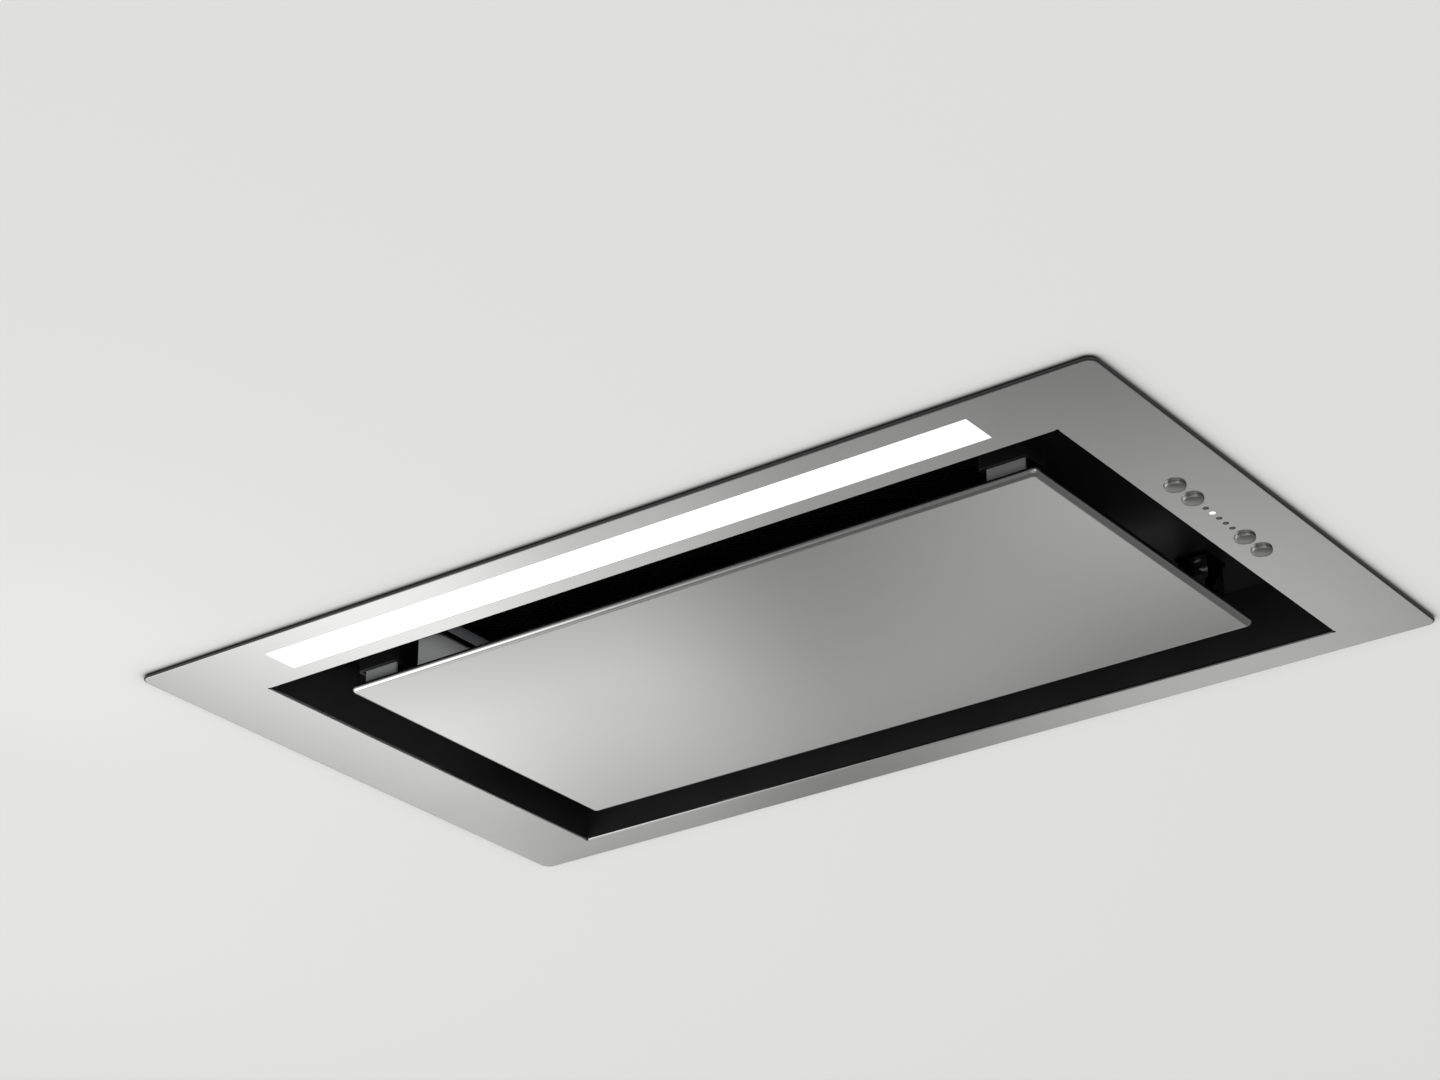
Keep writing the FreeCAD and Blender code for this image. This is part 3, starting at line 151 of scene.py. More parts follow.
@dataclass(frozen=True)
class Finish:
    """Surface that is mottled at one real size and grained at a finer one.

    Attributes:
        name: What the real material is and how its surface was made.
        dark: Darker end of its colour, sRGB hex.
        light: Lighter end of its colour, sRGB hex.
        rough: Lowest and highest roughness.
        size_mm: Width of one spot, cell or stroke of the mottling.
        stretch: How much longer the mottling is along X, Y and Z.
        grain_mm: Width of one grain of the fine relief.
        relief_mm: Height of the fine relief.
        metallic: 1 for bare metal.
        pattern: Texture of the mottling.
        tint_span: Part of the mottling's range over which the colour changes.
        gloss_span: Part of that range over which the roughness changes.
        bump: Strength of the fine relief.
        grain_detail: Octaves of the fine relief.
    """

    name: str
    dark: str
    light: str
    rough: Pair
    size_mm: float = 20.0
    stretch: tuple[float, float, float] = (1.0, 1.0, 1.0)
    grain_mm: float = 0.8
    relief_mm: float = 0.02
    metallic: float = 0.0
    pattern: Pattern = Pattern.CLOUDS
    tint_span: ClassVar[Pair] = (0.25, 0.75)
    gloss_span: ClassVar[Pair] = (0.0, 1.0)
    bump: ClassVar[float] = 0.6
    grain_detail: ClassVar[float] = 3.0

    def material(self) -> bpy.types.Material:
        """Makes the finish's material at the first call.

        Returns:
            The material.
        """
        made = bpy.data.materials.get(self.name)
        if made is None:
            made, tree, shader = new_material(self.name)
            feed(tree, shader, {"Metallic": self.metallic})
            self.paint(tree, shader)
        return made

    def dress(self, *pieces: bpy.types.Object) -> None:
        """Puts the finish on every face of some pieces.

        Args:
            pieces: What is dressed.
        """
        for piece in pieces:
            piece.data.materials.clear()
            piece.data.materials.append(self.material())

    def scaled(self, tree: Tree, size: float, stretch: Point) -> Socket:
        """Object coordinates in which one unit is a given real size.

        Args:
            tree: Node tree of the material.
            size: Millimetres that make one unit of the pattern.
            stretch: How much longer that is along X, Y and Z.

        Returns:
            Vector output for a texture.
        """
        place = add(tree, "ShaderNodeTexCoord").outputs["Object"]
        scale = [1 / (size * MM * s) for s in stretch]
        return add(tree, "ShaderNodeMapping", {"Vector": place, "Scale": scale}).outputs["Vector"]

    def surface(self, tree: Tree, amount: Socket, height: Socket) -> dict[str, Any]:
        """Colour, roughness and relief of the finish.

        Args:
            tree: Node tree of the material.
            amount: What colour and roughness follow.
            height: What the relief follows.

        Returns:
            What fills the shader's inputs.
        """
        colour = add(tree, "ShaderNodeValToRGB", {"Fac": amount},
                     stops=tuple(zip(self.tint_span, (self.dark, self.light))))
        gloss = add(tree, "ShaderNodeMapRange", {
            "Value": amount, "From Min": self.gloss_span[0], "From Max": self.gloss_span[1],
            "To Min": self.rough[0], "To Max": self.rough[1]})
        relief = add(tree, "ShaderNodeBump", {
            "Height": height, "Strength": self.bump, "Distance": self.relief_mm * MM})
        return {"Base Color": colour.outputs["Color"], "Roughness": gloss.outputs["Result"],
                "Normal": relief.outputs["Normal"]}

    def paint(self, tree: Tree, shader: Node) -> None:
        """Links colour, roughness and relief to the shader.

        Args:
            tree: Node tree of the material.
            shader: Its Principled BSDF.
        """
        kind, output = self.pattern.value
        spots = add(tree, kind, {
            "Vector": self.scaled(tree, self.size_mm, self.stretch), "Scale": 1.0})
        grain = add(tree, "ShaderNodeTexNoise", {
            "Vector": self.scaled(tree, self.grain_mm, self.stretch), "Scale": 1.0,
            "Detail": self.grain_detail})
        feed(tree, shader, self.surface(tree, spots.outputs[output], grain.outputs["Fac"]))


@dataclass(frozen=True)
class BrushedSheet(Finish):
    """Stainless sheet brushed along X, so that its highlights stretch along Y.

    Attributes:
        stroke_mm: Length of one brush stroke.
        bow_mm: How far the thin sheet's middle stands back, along X and along Y.
        span_mm: Width and depth of the sheet, over which it bows.
        middle_mm: Where it stands back most.
        anisotropy: How far the highlights stretch.
        rim_mm: Distances from the middle, along X and Y, beyond which the outer edge gets
            painted shade.
        face_mm: Level of the sheet's face, above which the painted shade on the edge starts.
        cut: Dark grey painted on the outer edge as painted shade, sRGB hex.
        edge_rough: Roughness of the outer edge.
        edge_shade_mm: Heights over the face where the painted shade starts and where it is full.
        patchy: Share of the wiped patches in the mottling, the rest being brush strokes.
    """

    stroke_mm: float = 60.0
    bow_mm: Pair = (0.0, 0.0)
    span_mm: Pair = (385.0, 191.0)
    middle_mm: Pair = (46.0, -9.0)
    anisotropy: float = 0.3
    rim_mm: Pair = (0.0, 0.0)
    face_mm: float = 0.0
    # Dark grey of the painted shade on the outer edge.
    cut: str = "525252"
    edge_rough: float = 0.5
    edge_shade_mm: Pair = (0.03, 0.20)
    patchy: float = 0.35
    tint_span: ClassVar[Pair] = (0.3, 0.7)
    gloss_span: ClassVar[Pair] = (0.3, 0.7)
    bump: ClassVar[float] = 0.25

    def painted_edge_shade(self, tree: Tree) -> Socket:
        """Output that is 1 on the outer edge, where shade is painted, and 0 on the face.

        Args:
            tree: Node tree of the material.

        Returns:
            Number output.
        """
        place = add(tree, "ShaderNodeTexCoord").outputs["Object"]
        away = add(tree, "ShaderNodeVectorMath", {0: place}, operation="ABSOLUTE")
        over = add(tree, "ShaderNodeVectorMath", {0: away.outputs[0], 1: mm(*self.rim_mm, 0)},
                   operation="SUBTRACT")
        sides = add(tree, "ShaderNodeSeparateXYZ", {0: over.outputs[0]}).outputs
        most = add(tree, "ShaderNodeMath", {0: sides["X"], 1: sides["Y"]}, operation="MAXIMUM")
        outer = add(tree, "ShaderNodeMath", {0: most.outputs[0], 1: 0.0}, operation="GREATER_THAN")
        level = add(tree, "ShaderNodeSeparateXYZ", {0: place}).outputs["Z"]
        start, full = ((self.face_mm + c) * MM for c in self.edge_shade_mm)
        back = add(tree, "ShaderNodeMapRange", {"Value": level, "From Min": start, "From Max": full},
                   interpolation_type="SMOOTHSTEP")
        edge = add(tree, "ShaderNodeMath", {0: outer.outputs[0], 1: back.outputs["Result"]},
                   operation="MULTIPLY")
        return edge.outputs[0]

    def bowed(self, tree: Tree, normal: Socket) -> Socket:
        """Normal of the sheet with its bow.

        Args:
            tree: Node tree of the material.
            normal: Normal of the flat sheet.

        Returns:
            Vector output.
        """
        place = add(tree, "ShaderNodeTexCoord").outputs["Object"]
        off = add(tree, "ShaderNodeVectorMath", {0: place, 1: mm(*self.middle_mm, 0)},
                  operation="SUBTRACT")
        bend = [2 * math.sqrt(b / MM) / w for b, w in zip(self.bow_mm, self.span_mm)] + [0.0]
        part = add(tree, "ShaderNodeVectorMath", {0: off.outputs[0], 1: bend}, operation="MULTIPLY")
        rise = add(tree, "ShaderNodeVectorMath", {0: part.outputs[0], 1: part.outputs[0]},
                   operation="DOT_PRODUCT")
        bow = add(tree, "ShaderNodeBump", {
            "Height": rise.outputs["Value"], "Strength": 1.0, "Distance": 1.0, "Normal": normal})
        return bow.outputs["Normal"]

    def paint(self, tree: Tree, shader: Node) -> None:
        """Links brush strokes, wiped patches, the sheet's bow, the stretched gloss and painted edge
        shade.

        Args:
            tree: Node tree of the material.
            shader: Its Principled BSDF.
        """
        along = (self.stroke_mm / self.grain_mm, 1.0, 1.0)
        strokes = add(tree, "ShaderNodeTexNoise", {
            "Vector": self.scaled(tree, self.grain_mm, along), "Scale": 1.0, "Detail": 4.0,
            "Roughness": 0.65}).outputs["Fac"]
        patches = add(tree, "ShaderNodeTexNoise", {
            "Vector": self.scaled(tree, self.size_mm, self.stretch), "Scale": 1.0,
            "Detail": 2.0}).outputs["Fac"]
        mixed = add(tree, "ShaderNodeMix", {"Factor": self.patchy, 2: strokes, 3: patches})
        into = self.surface(tree, mixed.outputs[0], strokes)
        if any(self.bow_mm):
            into["Normal"] = self.bowed(tree, into["Normal"])
        if any(self.rim_mm):
            # Painted shade: the outer edge is coloured dark grey and made rougher.
            edge = self.painted_edge_shade(tree)
            edge_shaded_colour = add(tree, "ShaderNodeMix", {
                "Factor": edge, 6: into["Base Color"], 7: linear(self.cut)}, data_type="RGBA")
            dull = add(tree, "ShaderNodeMix", {
                "Factor": edge, 2: into["Roughness"], 3: self.edge_rough})
            into["Base Color"] = edge_shaded_colour.outputs[2]
            into["Roughness"] = dull.outputs[0]
        across = add(tree, "ShaderNodeTangent", direction_type="RADIAL", axis="X")
        into["Tangent"] = across.outputs["Tangent"]
        into["Anisotropic"] = self.anisotropy
        feed(tree, shader, into)


@dataclass(frozen=True)
class TurnedSteel(Finish):
    """Steel turned on a lathe, with fine rings round an upright axis.

    Attributes:
        centre: Place of the axis in metres.
        ring_scale: Scale of the ring texture at which one ring is a millimetre wide.
    """

    centre: tuple[float, float, float] = (0.0, 0.0, 0.0)
    ring_scale: float = 0.314
    tint_span: ClassVar[Pair] = (0.2, 0.8)
    bump: ClassVar[float] = 0.3

    def paint(self, tree: Tree, shader: Node) -> None:
        """Links turned rings to colour, gloss and relief.

        Args:
            tree: Node tree of the material.
            shader: Its Principled BSDF.
        """
        off = [-c for c in self.centre]
        place = add(tree, "ShaderNodeTexCoord").outputs["Object"]
        centred = add(tree, "ShaderNodeMapping", {"Vector": place, "Location": off})
        flat = add(tree, "ShaderNodeMapping", {"Vector": centred.outputs["Vector"],
                                               "Scale": (1 / MM, 1 / MM, 0.0)})
        into = {"Vector": flat.outputs["Vector"], "Scale": self.ring_scale / self.grain_mm,
                "Distortion": 0.6, "Detail": 2.0}
        rings = add(tree, "ShaderNodeTexWave", into, wave_type="RINGS",
                    rings_direction="SPHERICAL").outputs["Fac"]
        feed(tree, shader, self.surface(tree, rings, rings))


@dataclass(frozen=True)
class LitPlastic(Finish):
    """Translucent plastic with a light behind it.

    Attributes:
        glow: Strength of the light that comes through.
        window_mm: Middle and half size, each along X and Y, of the part that is lit.
        fade_mm: Distances from the window's border where the light starts and is full.
        border: Colour of the unlit border, sRGB hex.
        glow_span: Part of the mottling's range over which the glow's colour changes.
    """

    glow: float = 1.0
    window_mm: tuple[float, float, float, float] = (0.0, 0.0, 0.0, 0.0)
    fade_mm: Pair = (0.0, 0.0)
    border: str = "FFFFFF"
    glow_span: ClassVar[Pair] = (0.2, 0.8)

    def lit(self, tree: Tree) -> Socket:
        """Output that is 1 in the lit window and fades to 0 over its border.

        Args:
            tree: Node tree of the material.

        Returns:
            Number output.
        """
        middle, half = self.window_mm[:2], self.window_mm[2:]
        place = add(tree, "ShaderNodeTexCoord").outputs["Object"]
        off = add(tree, "ShaderNodeVectorMath", {0: place, 1: mm(*middle, 0)}, operation="SUBTRACT")
        away = add(tree, "ShaderNodeVectorMath", {0: off.outputs[0]}, operation="ABSOLUTE")
        inset = add(tree, "ShaderNodeVectorMath", {0: mm(*half, 0), 1: away.outputs[0]},
                    operation="SUBTRACT")
        sides = add(tree, "ShaderNodeSeparateXYZ", {0: inset.outputs[0]}).outputs
        least = add(tree, "ShaderNodeMath", {0: sides["X"], 1: sides["Y"]}, operation="MINIMUM")
        start, full = (f * MM for f in self.fade_mm)
        light = add(tree, "ShaderNodeMapRange", {
            "Value": least.outputs[0], "From Min": start, "From Max": full},
            interpolation_type="SMOOTHSTEP")
        return light.outputs["Result"]

    def paint(self, tree: Tree, shader: Node) -> None:
        """Adds a glow, slightly uneven as behind light chips, to the mottled plastic.

        Args:
            tree: Node tree of the material.
            shader: Its Principled BSDF.
        """
        super().paint(tree, shader)
        chips = add(tree, "ShaderNodeTexNoise", {
            "Vector": self.scaled(tree, self.size_mm, self.stretch), "Scale": 1.0})
        stops = tuple(zip(self.glow_span, (self.dark, self.light)))
        shade = add(tree, "ShaderNodeValToRGB", {"Fac": chips.outputs["Fac"]}, stops).outputs["Color"]
        feed(tree, shader, {"Emission Color": shade, "Emission Strength": self.glow})
        if any(self.fade_mm):
            light = self.lit(tree)
            power = add(tree, "ShaderNodeMath", {0: light, 1: self.glow}, operation="MULTIPLY")
            body = add(tree, "ShaderNodeMix", {
                "Factor": light, 6: linear(self.border), 7: shade}, data_type="RGBA")
            feed(tree, shader, {"Emission Strength": power.outputs[0],
                                "Base Color": body.outputs[2]})


@dataclass(frozen=True)
class SolderMask(Finish):
    """Circuit board: green lacquer over copper tracks.

    Attributes:
        track: Width of a track as a share of one cell.
    """

    track: float = 0.06
    bump: ClassVar[float] = 0.5

    def paint(self, tree: Tree, shader: Node) -> None:
        """Draws tracks under the lacquer.

        Args:
            tree: Node tree of the material.
            shader: Its Principled BSDF.
        """
        tracks = add(tree, "ShaderNodeTexBrick", {
            "Vector": self.scaled(tree, self.size_mm, self.stretch), "Scale": 1.0,
            "Color1": linear(self.dark), "Color2": linear(self.dark),
            "Mortar": linear(self.light), "Mortar Size": self.track}).outputs
        gloss = add(tree, "ShaderNodeMapRange", {
            "Value": tracks["Fac"], "To Min": self.rough[0], "To Max": self.rough[1]})
        relief = add(tree, "ShaderNodeBump", {
            "Height": tracks["Fac"], "Strength": self.bump, "Distance": self.relief_mm * MM})
        feed(tree, shader, {"Base Color": tracks["Color"], "Roughness": gloss.outputs["Result"],
                            "Normal": relief.outputs["Normal"]})


# Cold-rolled stainless sheet with a fine brushed finish: soft grey, long hairlines along X.
# The hairlines are drawn at 0.7 mm, coarser than the real ones, so that they show at all.
# Its outer edge is rougher and painted dark grey: painted shade for the shadow line at its rim.
STAINLESS_FRAME = BrushedSheet(
    "stainless_sheet_brushed_frame", "BEBEBD", "C6C6C5", (0.16, 0.20), size_mm=90.0,
    grain_mm=0.7, relief_mm=0.004, metallic=1.0, rim_mm=(245.0, 146.0), face_mm=-2.0)
# The same sheet on the panel, which is held at its ends and bows by a millimetre or so.
STAINLESS_PANEL = BrushedSheet(
    "stainless_sheet_brushed_panel", "BEBEBD", "C6C6C5", (0.16, 0.20), size_mm=90.0,
    grain_mm=0.7, relief_mm=0.004, metallic=1.0, bow_mm=(2.4, 2.6))
# Opal acrylic: milky and even, the chips behind it only just show as a slow ripple.
OPAL_ACRYLIC = LitPlastic(
    "acrylic_opal_moulded", "F4F4F2", "FFFFFF", (0.30, 0.36), size_mm=16.0, grain_mm=0.6,
    relief_mm=0.004, glow=1.4, window_mm=(0.0, -130.5, 194.0, 10.0), fade_mm=(-0.6, 0.9),
    border="D4D4D3")
# Powder coat on the inner walls: near black, half gloss, with a fine orange peel.
BLACK_POWDER_COAT = Finish(
    "steel_powder_coated_black", "2C2C2D", "343435", (0.38, 0.50), size_mm=35.0, grain_mm=1.1)
# Hot-dip galvanised sheet: flat crystals of zinc some 7 mm wide, each of its own grey.
GALVANISED = Finish(
    "steel_sheet_galvanised", "9DA1A3", "A9ADAF", (0.36, 0.48), size_mm=7.0, grain_mm=0.9,
    relief_mm=0.006, metallic=1.0, pattern=Pattern.CELLS)
# Bright zinc plate: pale, rather glossy, with faint stains from the bath.
BRIGHT_ZINC = Finish(
    "steel_zinc_plated", "A3A6AA", "BCC0C4", (0.22, 0.36), size_mm=4.0, grain_mm=0.4,
    relief_mm=0.004, metallic=1.0)
# Zinc plate passivated black, on the hinge: near black, with a faint sheen.
BLACK_ZINC = Finish(
    "steel_zinc_plated_black", "222325", "2E2F32", (0.30, 0.42), size_mm=4.0, grain_mm=0.4,
    relief_mm=0.004, metallic=1.0)
# Grey primer on the strikes: matt and even, slightly cloudy.
GREY_PRIMER = Finish(
    "steel_primed_grey", "CACBCC", "D6D7D8", (0.52, 0.66), size_mm=14.0, relief_mm=0.015)
# Paler paint on the wiring cover, with a fine grain from the roller.
PALE_PAINT = Finish(
    "steel_painted_pale", "DADBDC", "E6E7E8", (0.44, 0.58), size_mm=18.0, grain_mm=0.9,
    relief_mm=0.012)
# Ground bar steel: dark mirror with lines of the wheel across the bar.
GROUND_STEEL = Finish(
    "steel_bar_ground", "8C8D90", "A9AAAD", (0.14, 0.24), size_mm=1.2, stretch=(0.4, 4.0, 4.0),
    grain_mm=0.3, relief_mm=0.002, metallic=1.0)
# Blued spring steel: dark grey with cloudy heat tints.
BLUED_SPRING = Finish(
    "spring_steel_blued", "33363D", "4A4D55", (0.26, 0.40), size_mm=9.0, grain_mm=0.5,
    relief_mm=0.004, metallic=1.0)
# Mill-finish aluminium: pale and satin, with drawn lines along its length.
MILL_ALUMINIUM = Finish(
    "aluminium_extruded_mill", "A6A8AA", "C4C6C8", (0.30, 0.44), size_mm=1.0,
    stretch=(30.0, 1.0, 1.0), grain_mm=0.5, relief_mm=0.004, metallic=1.0)
# Rolled rails of the grease filter: a darker mid grey than the mill-finish aluminium, and satin.
ROLLED_ALUMINIUM = Finish(
    "aluminium_rolled_dull", "6C6D6F", "808183", (0.38, 0.52), size_mm=1.0,
    stretch=(30.0, 1.0, 1.0), grain_mm=0.5, relief_mm=0.004, metallic=1.0)
# Slit and stretched aluminium foil, coloured near black: painted shade for the shade inside the hood.
# Dull flats, faintly bright slit edges.
EXPANDED_ALUMINIUM = Finish(
    "aluminium_expanded_painted_shade", "17181A", "2A2B2D", (0.34, 0.52), size_mm=2.5,
    grain_mm=0.3, relief_mm=0.01, metallic=1.0)
# Frosted polycarbonate of the unlit light pipes: a soft mid grey.
SMOKED_LENS = Finish(
    "polycarbonate_smoked", "727273", "848485", (0.34, 0.46), size_mm=2.0, grain_mm=0.4,
    relief_mm=0.004)
# The same plastic with its chip switched on.
LIT_LENS = LitPlastic(
    "polycarbonate_smoked_lit", "F2F2F0", "FFFFFF", (0.10, 0.18), size_mm=2.0, grain_mm=0.4,
    relief_mm=0.002, glow=1.3)
# Black ABS from a spark-eroded tool: soft grain of about a millimetre.
BLACK_ABS = Finish(
    "abs_black_grained", "121214", "1C1C1F", (0.42, 0.58), size_mm=25.0, grain_mm=0.9,
    relief_mm=0.03)
# Sintered ferrite: dull charcoal with fine pores.
FERRITE = Finish(
    "ferrite_sintered", "24252A", "35363C", (0.55, 0.72), size_mm=1.5, grain_mm=0.5,
    relief_mm=0.03, pattern=Pattern.PITS)
# Natural nylon: warm white, waxy.
NYLON = Finish(
    "nylon_natural_moulded", "D8D7CF", "E6E5DE", (0.36, 0.48), size_mm=18.0, grain_mm=1.2,
    relief_mm=0.01)
# Fibreglass board with green solder mask.
BOARD = SolderMask(
    "fibreglass_board_lacquered", "0E3B22", "1F5A36", (0.28, 0.40), size_mm=6.0, relief_mm=0.03)
# Moulded cases of relays and capacitors: near black, half gloss.
PART_CASES = Finish("epoxy_case_moulded", "1B1B1E", "2C2C30", (0.38, 0.50), size_mm=12.0)
# Stoved enamel on the motor's can: dark grey, half gloss, slightly wavy.
MOTOR_ENAMEL = Finish(
    "steel_enamelled_grey", "3E4144", "4B4E52", (0.32, 0.44), size_mm=22.0, grain_mm=1.3)
# Closed-cell foam strip: matt black with open skin pores.
FOAM = Finish(
    "foam_closed_cell", "101011", "1D1D1F", (0.82, 0.95), size_mm=1.6, grain_mm=0.7,
    relief_mm=0.15, pattern=Pattern.PITS)
# Moulded rubber of the motor mounts: dull black.
RUBBER = Finish("rubber_moulded", "0D0D0E", "171718", (0.60, 0.75), size_mm=6.0, grain_mm=0.6)
# Extruded sheath of the inner leads: grey and satin.
SHEATH = Finish(
    "pvc_sheath_extruded", "4A4B4E", "595A5D", (0.42, 0.55), size_mm=5.0, grain_mm=0.7,
    relief_mm=0.01)

# Nodes that are shown as they were packed, by their finish.
NODE_FINISHES: tuple[tuple[Finish, str], ...] = (
    (STAINLESS_FRAME, "frame_plate"),
    (STAINLESS_PANEL, "panel_skin"),
    (OPAL_ACRYLIC, "light_diffuser"),
    (MILL_ALUMINIUM, "light_channel"),
    (BOARD, "light_board control_board power_board"),
    (NYLON, "light_leds impeller terminal_block"),
    (BLACK_POWDER_COAT, "skirt_front skirt_rear skirt_left skirt_right filter_deck"),
    (GALVANISED, "panel_back case_front case_rear case_left case_right case_top motor_bracket"),
    (GALVANISED, "scroll_wrap scroll_cheek_left scroll_cheek_right"),
    (GREY_PRIMER, "panel_strikes"),
    (BLACK_ZINC, "panel_hinge_arms hinge_brackets"),
    (GROUND_STEEL, "hinge_pins motor_shaft motor_bearings damper_pin"),
    (FERRITE, "catch_magnets"),
    (ROLLED_ALUMINIUM, "filter_frame"),
    (BLACK_ABS, "button_carrier tact_switches electronics_box electronics_lid"),
    (BLACK_ABS, "outlet_collar damper_flap_front damper_flap_rear"),
    (MOTOR_ENAMEL, "motor_body"),
    (RUBBER, "motor_grommets"),
    (BRIGHT_ZINC, "blower_screws"),
    (PART_CASES, "board_components"),
    (SHEATH, "motor_lead control_leads"),
)


def spot(x: float, y: float, z: float, before: Optional[Matrix] = None) -> Matrix:
    """Place in millimetres, with a turn before it, as a matrix."""
    return Matrix.Translation(mm(x, y, z)) @ (before or Matrix.Identity(4))


def turn(degrees: float, axis: str = "Z") -> Matrix:
    """Turn about an axis through the origin."""
    return Matrix.Rotation(math.radians(degrees), 4, axis)


# Turns that lay a piece made along +Z onto the right, left, rear and front sides.
TO_RIGHT = turn(90, "Y")
TO_LEFT = turn(-90, "Y")
TO_REAR = turn(-90, "X")
TO_FRONT = turn(90, "X")
# Both sides of the case, with the turn that each takes.
BOTH_SIDES = ((1, TO_RIGHT), (-1, TO_LEFT))
# Place along Y and sheet of the leaf clips, which their screws share.
CLIP_ROWS = (-77.0, 77.0)
CLIP_SHEET = 0.8


def box_mm(node: str) -> tuple[Vector, Vector, Vector]:
    """Lowest corner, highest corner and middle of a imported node, in millimetres."""
    low, high = (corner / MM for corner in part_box(node))
    return low, high, (low + high) / 2


class Pick(Enum):
    """What a selection takes."""

    POINTS = (True, False, False)
    EDGES = (False, True, False)
    FACES = (False, False, True)


def every(place: Vector, way: Vector) -> bool:
    """Test of a selection that takes all."""
    return True


def upright(place: Vector, way: Vector) -> bool:
    """Test of a selection that takes edges along Z."""
    return abs(way.z) > 0.9


def clear_bench() -> None:
    """Leaves edit mode and deselects everything."""
    if bpy.context.object and bpy.context.object.mode != "OBJECT":
        bpy.ops.object.mode_set(mode="OBJECT")
    bpy.ops.object.select_all(action="DESELECT")


class Workpiece:
    """One mesh on the bench, shaped with Blender's operators."""

    def __init__(self, name: str) -> None:
        """Takes over the mesh that an operator has just added.

        Args:
            name: Name of the finished piece.
        """
        self.take(name)
        bpy.ops.object.transform_apply(location=True, rotation=True, scale=True)

    @classmethod
    def block(cls, name: str, low: Point, high: Point) -> "Workpiece":
        """Starts from a cube between two corners.

        Args:
            name: Name of the piece.
            low: Lowest corner in millimetres.
            high: Highest corner in millimetres.

        Returns:
            The new workpiece.
        """
        clear_bench()
        a, b = mm(*low), mm(*high)
        bpy.ops.mesh.primitive_cube_add(size=1.0, location=(a + b) / 2, scale=b - a)
        return cls(name)

    @classmethod
    def sheet(cls, name: str, middle: Point, wide: float, deep: float) -> "Workpiece":
        """Starts from a flat sheet.

        Args:
            name: Name of the piece.
            middle: Its middle in millimetres.
            wide: Width along X in millimetres.
            deep: Depth along Y in millimetres.

        Returns:
            The new workpiece.
        """
        clear_bench()
        bpy.ops.mesh.primitive_plane_add(size=1.0)
        return cls(name).move(spot(*middle) @ Matrix.Diagonal((wide * MM, deep * MM, 1.0, 1.0)))

    @classmethod
    def line(cls, name: str, points: Sequence[Point]) -> "Workpiece":
        """Starts from one point and draws a line by extruding it.

        Args:
            name: Name of the piece.
            points: Places along the line in millimetres.

        Returns:
            The new workpiece, in edit mode with all of the line selected.
        """
        clear_bench()
        bpy.context.tool_settings.mesh_select_mode = Pick.POINTS.value
        bpy.ops.mesh.primitive_circle_add(vertices=3, radius=MM, location=mm(*points[0]))
        made = cls(name)
        bpy.ops.object.mode_set(mode="EDIT")
        bpy.ops.mesh.select_all(action="SELECT")
        bpy.ops.mesh.merge(type="CENTER")
        for here_mm, there_mm in zip(points, points[1:]):
            step = mm(*there_mm) - mm(*here_mm)
            bpy.ops.mesh.extrude_vertices_move(TRANSFORM_OT_translate={"value": step})
        bpy.ops.mesh.select_all(action="SELECT")
        return made

    @classmethod
    def turned(cls, name: str, profile: Profile, steps: int) -> "Workpiece":
        """Turns a profile of radius and height round the Z axis.

        Args:
            name: Name of the piece.
            profile: Radius and height of each point in millimetres.
            steps: Facets round the axis.

        Returns:
            The new workpiece, standing on the origin.
        """
        made = cls.line(name, [(r, 0.0, z) for r, z in profile])
        bpy.ops.mesh.spin(steps=steps, angle=2 * math.pi, center=(0, 0, 0), axis=(0, 0, 1))
        return made.tidy()

    @classmethod
    def prism(cls, name: str, outline: Sequence[Point], rise: Point) -> "Workpiece":
        """Fills a closed outline and extrudes it.

        Args:
            name: Name of the piece.
            outline: Corners in order, in millimetres.
            rise: Way and height of the extrusion in millimetres.

        Returns:
            The new workpiece.
        """
        made = cls.line(name, outline)
        bpy.ops.mesh.edge_face_add()
        return made.push(*rise).tidy()

    def take(self, name: str) -> "Workpiece":
        """Takes the active object.

        Args:
            name: Name of the object and its mesh.

        Returns:
            The workpiece.
        """
        self.obj = bpy.context.object
        self.obj.name = self.obj.data.name = name
        return self

    def done(self) -> "Workpiece":
        """Leaves edit mode."""
        bpy.ops.object.mode_set(mode="OBJECT")
        return self

    def push(self, *step: float) -> "Workpiece":
        """Extrudes what is selected by a step in millimetres."""
        bpy.ops.mesh.extrude_region_move(TRANSFORM_OT_translate={"value": mm(*step)})
        return self

    def tidy(self) -> "Workpiece":
        """Merges doubled points, turns every face outwards and leaves edit mode.

        Returns:
            The workpiece.
        """
        bpy.ops.mesh.select_all(action="SELECT")
        bpy.ops.mesh.remove_doubles(threshold=1e-7)
        bpy.ops.mesh.normals_make_consistent(inside=False)
        return self.done()

    def hold(self) -> "Workpiece":
        """Makes the piece the only one that is selected.

        Returns:
            The workpiece.
        """
        clear_bench()
        self.obj.select_set(True)
        bpy.context.view_layer.objects.active = self.obj
        return self

    def pick(self, kind: Pick, test: Test) -> "Workpiece":
        """Selects faces by middle and normal, or edges by middle and direction.

        Args:
            kind: Faces or edges.
            test: Says whether one is taken; places are in millimetres.

        Returns:
            The workpiece, in edit mode.
        """
        self.hold()
        mesh = self.obj.data
        for group in (mesh.vertices, mesh.edges, mesh.polygons):
            group.foreach_set("select", [False] * len(group))
        if kind is Pick.FACES:
            for face in mesh.polygons:
                face.select = test(face.center / MM, face.normal)
        else:
            for edge in mesh.edges:
                a, b = (mesh.vertices[i].co for i in edge.vertices)
                edge.select = test((a + b) / 2 / MM, (b - a).normalized())
        bpy.context.tool_settings.mesh_select_mode = kind.value
        bpy.ops.object.mode_set(mode="EDIT")
        return self

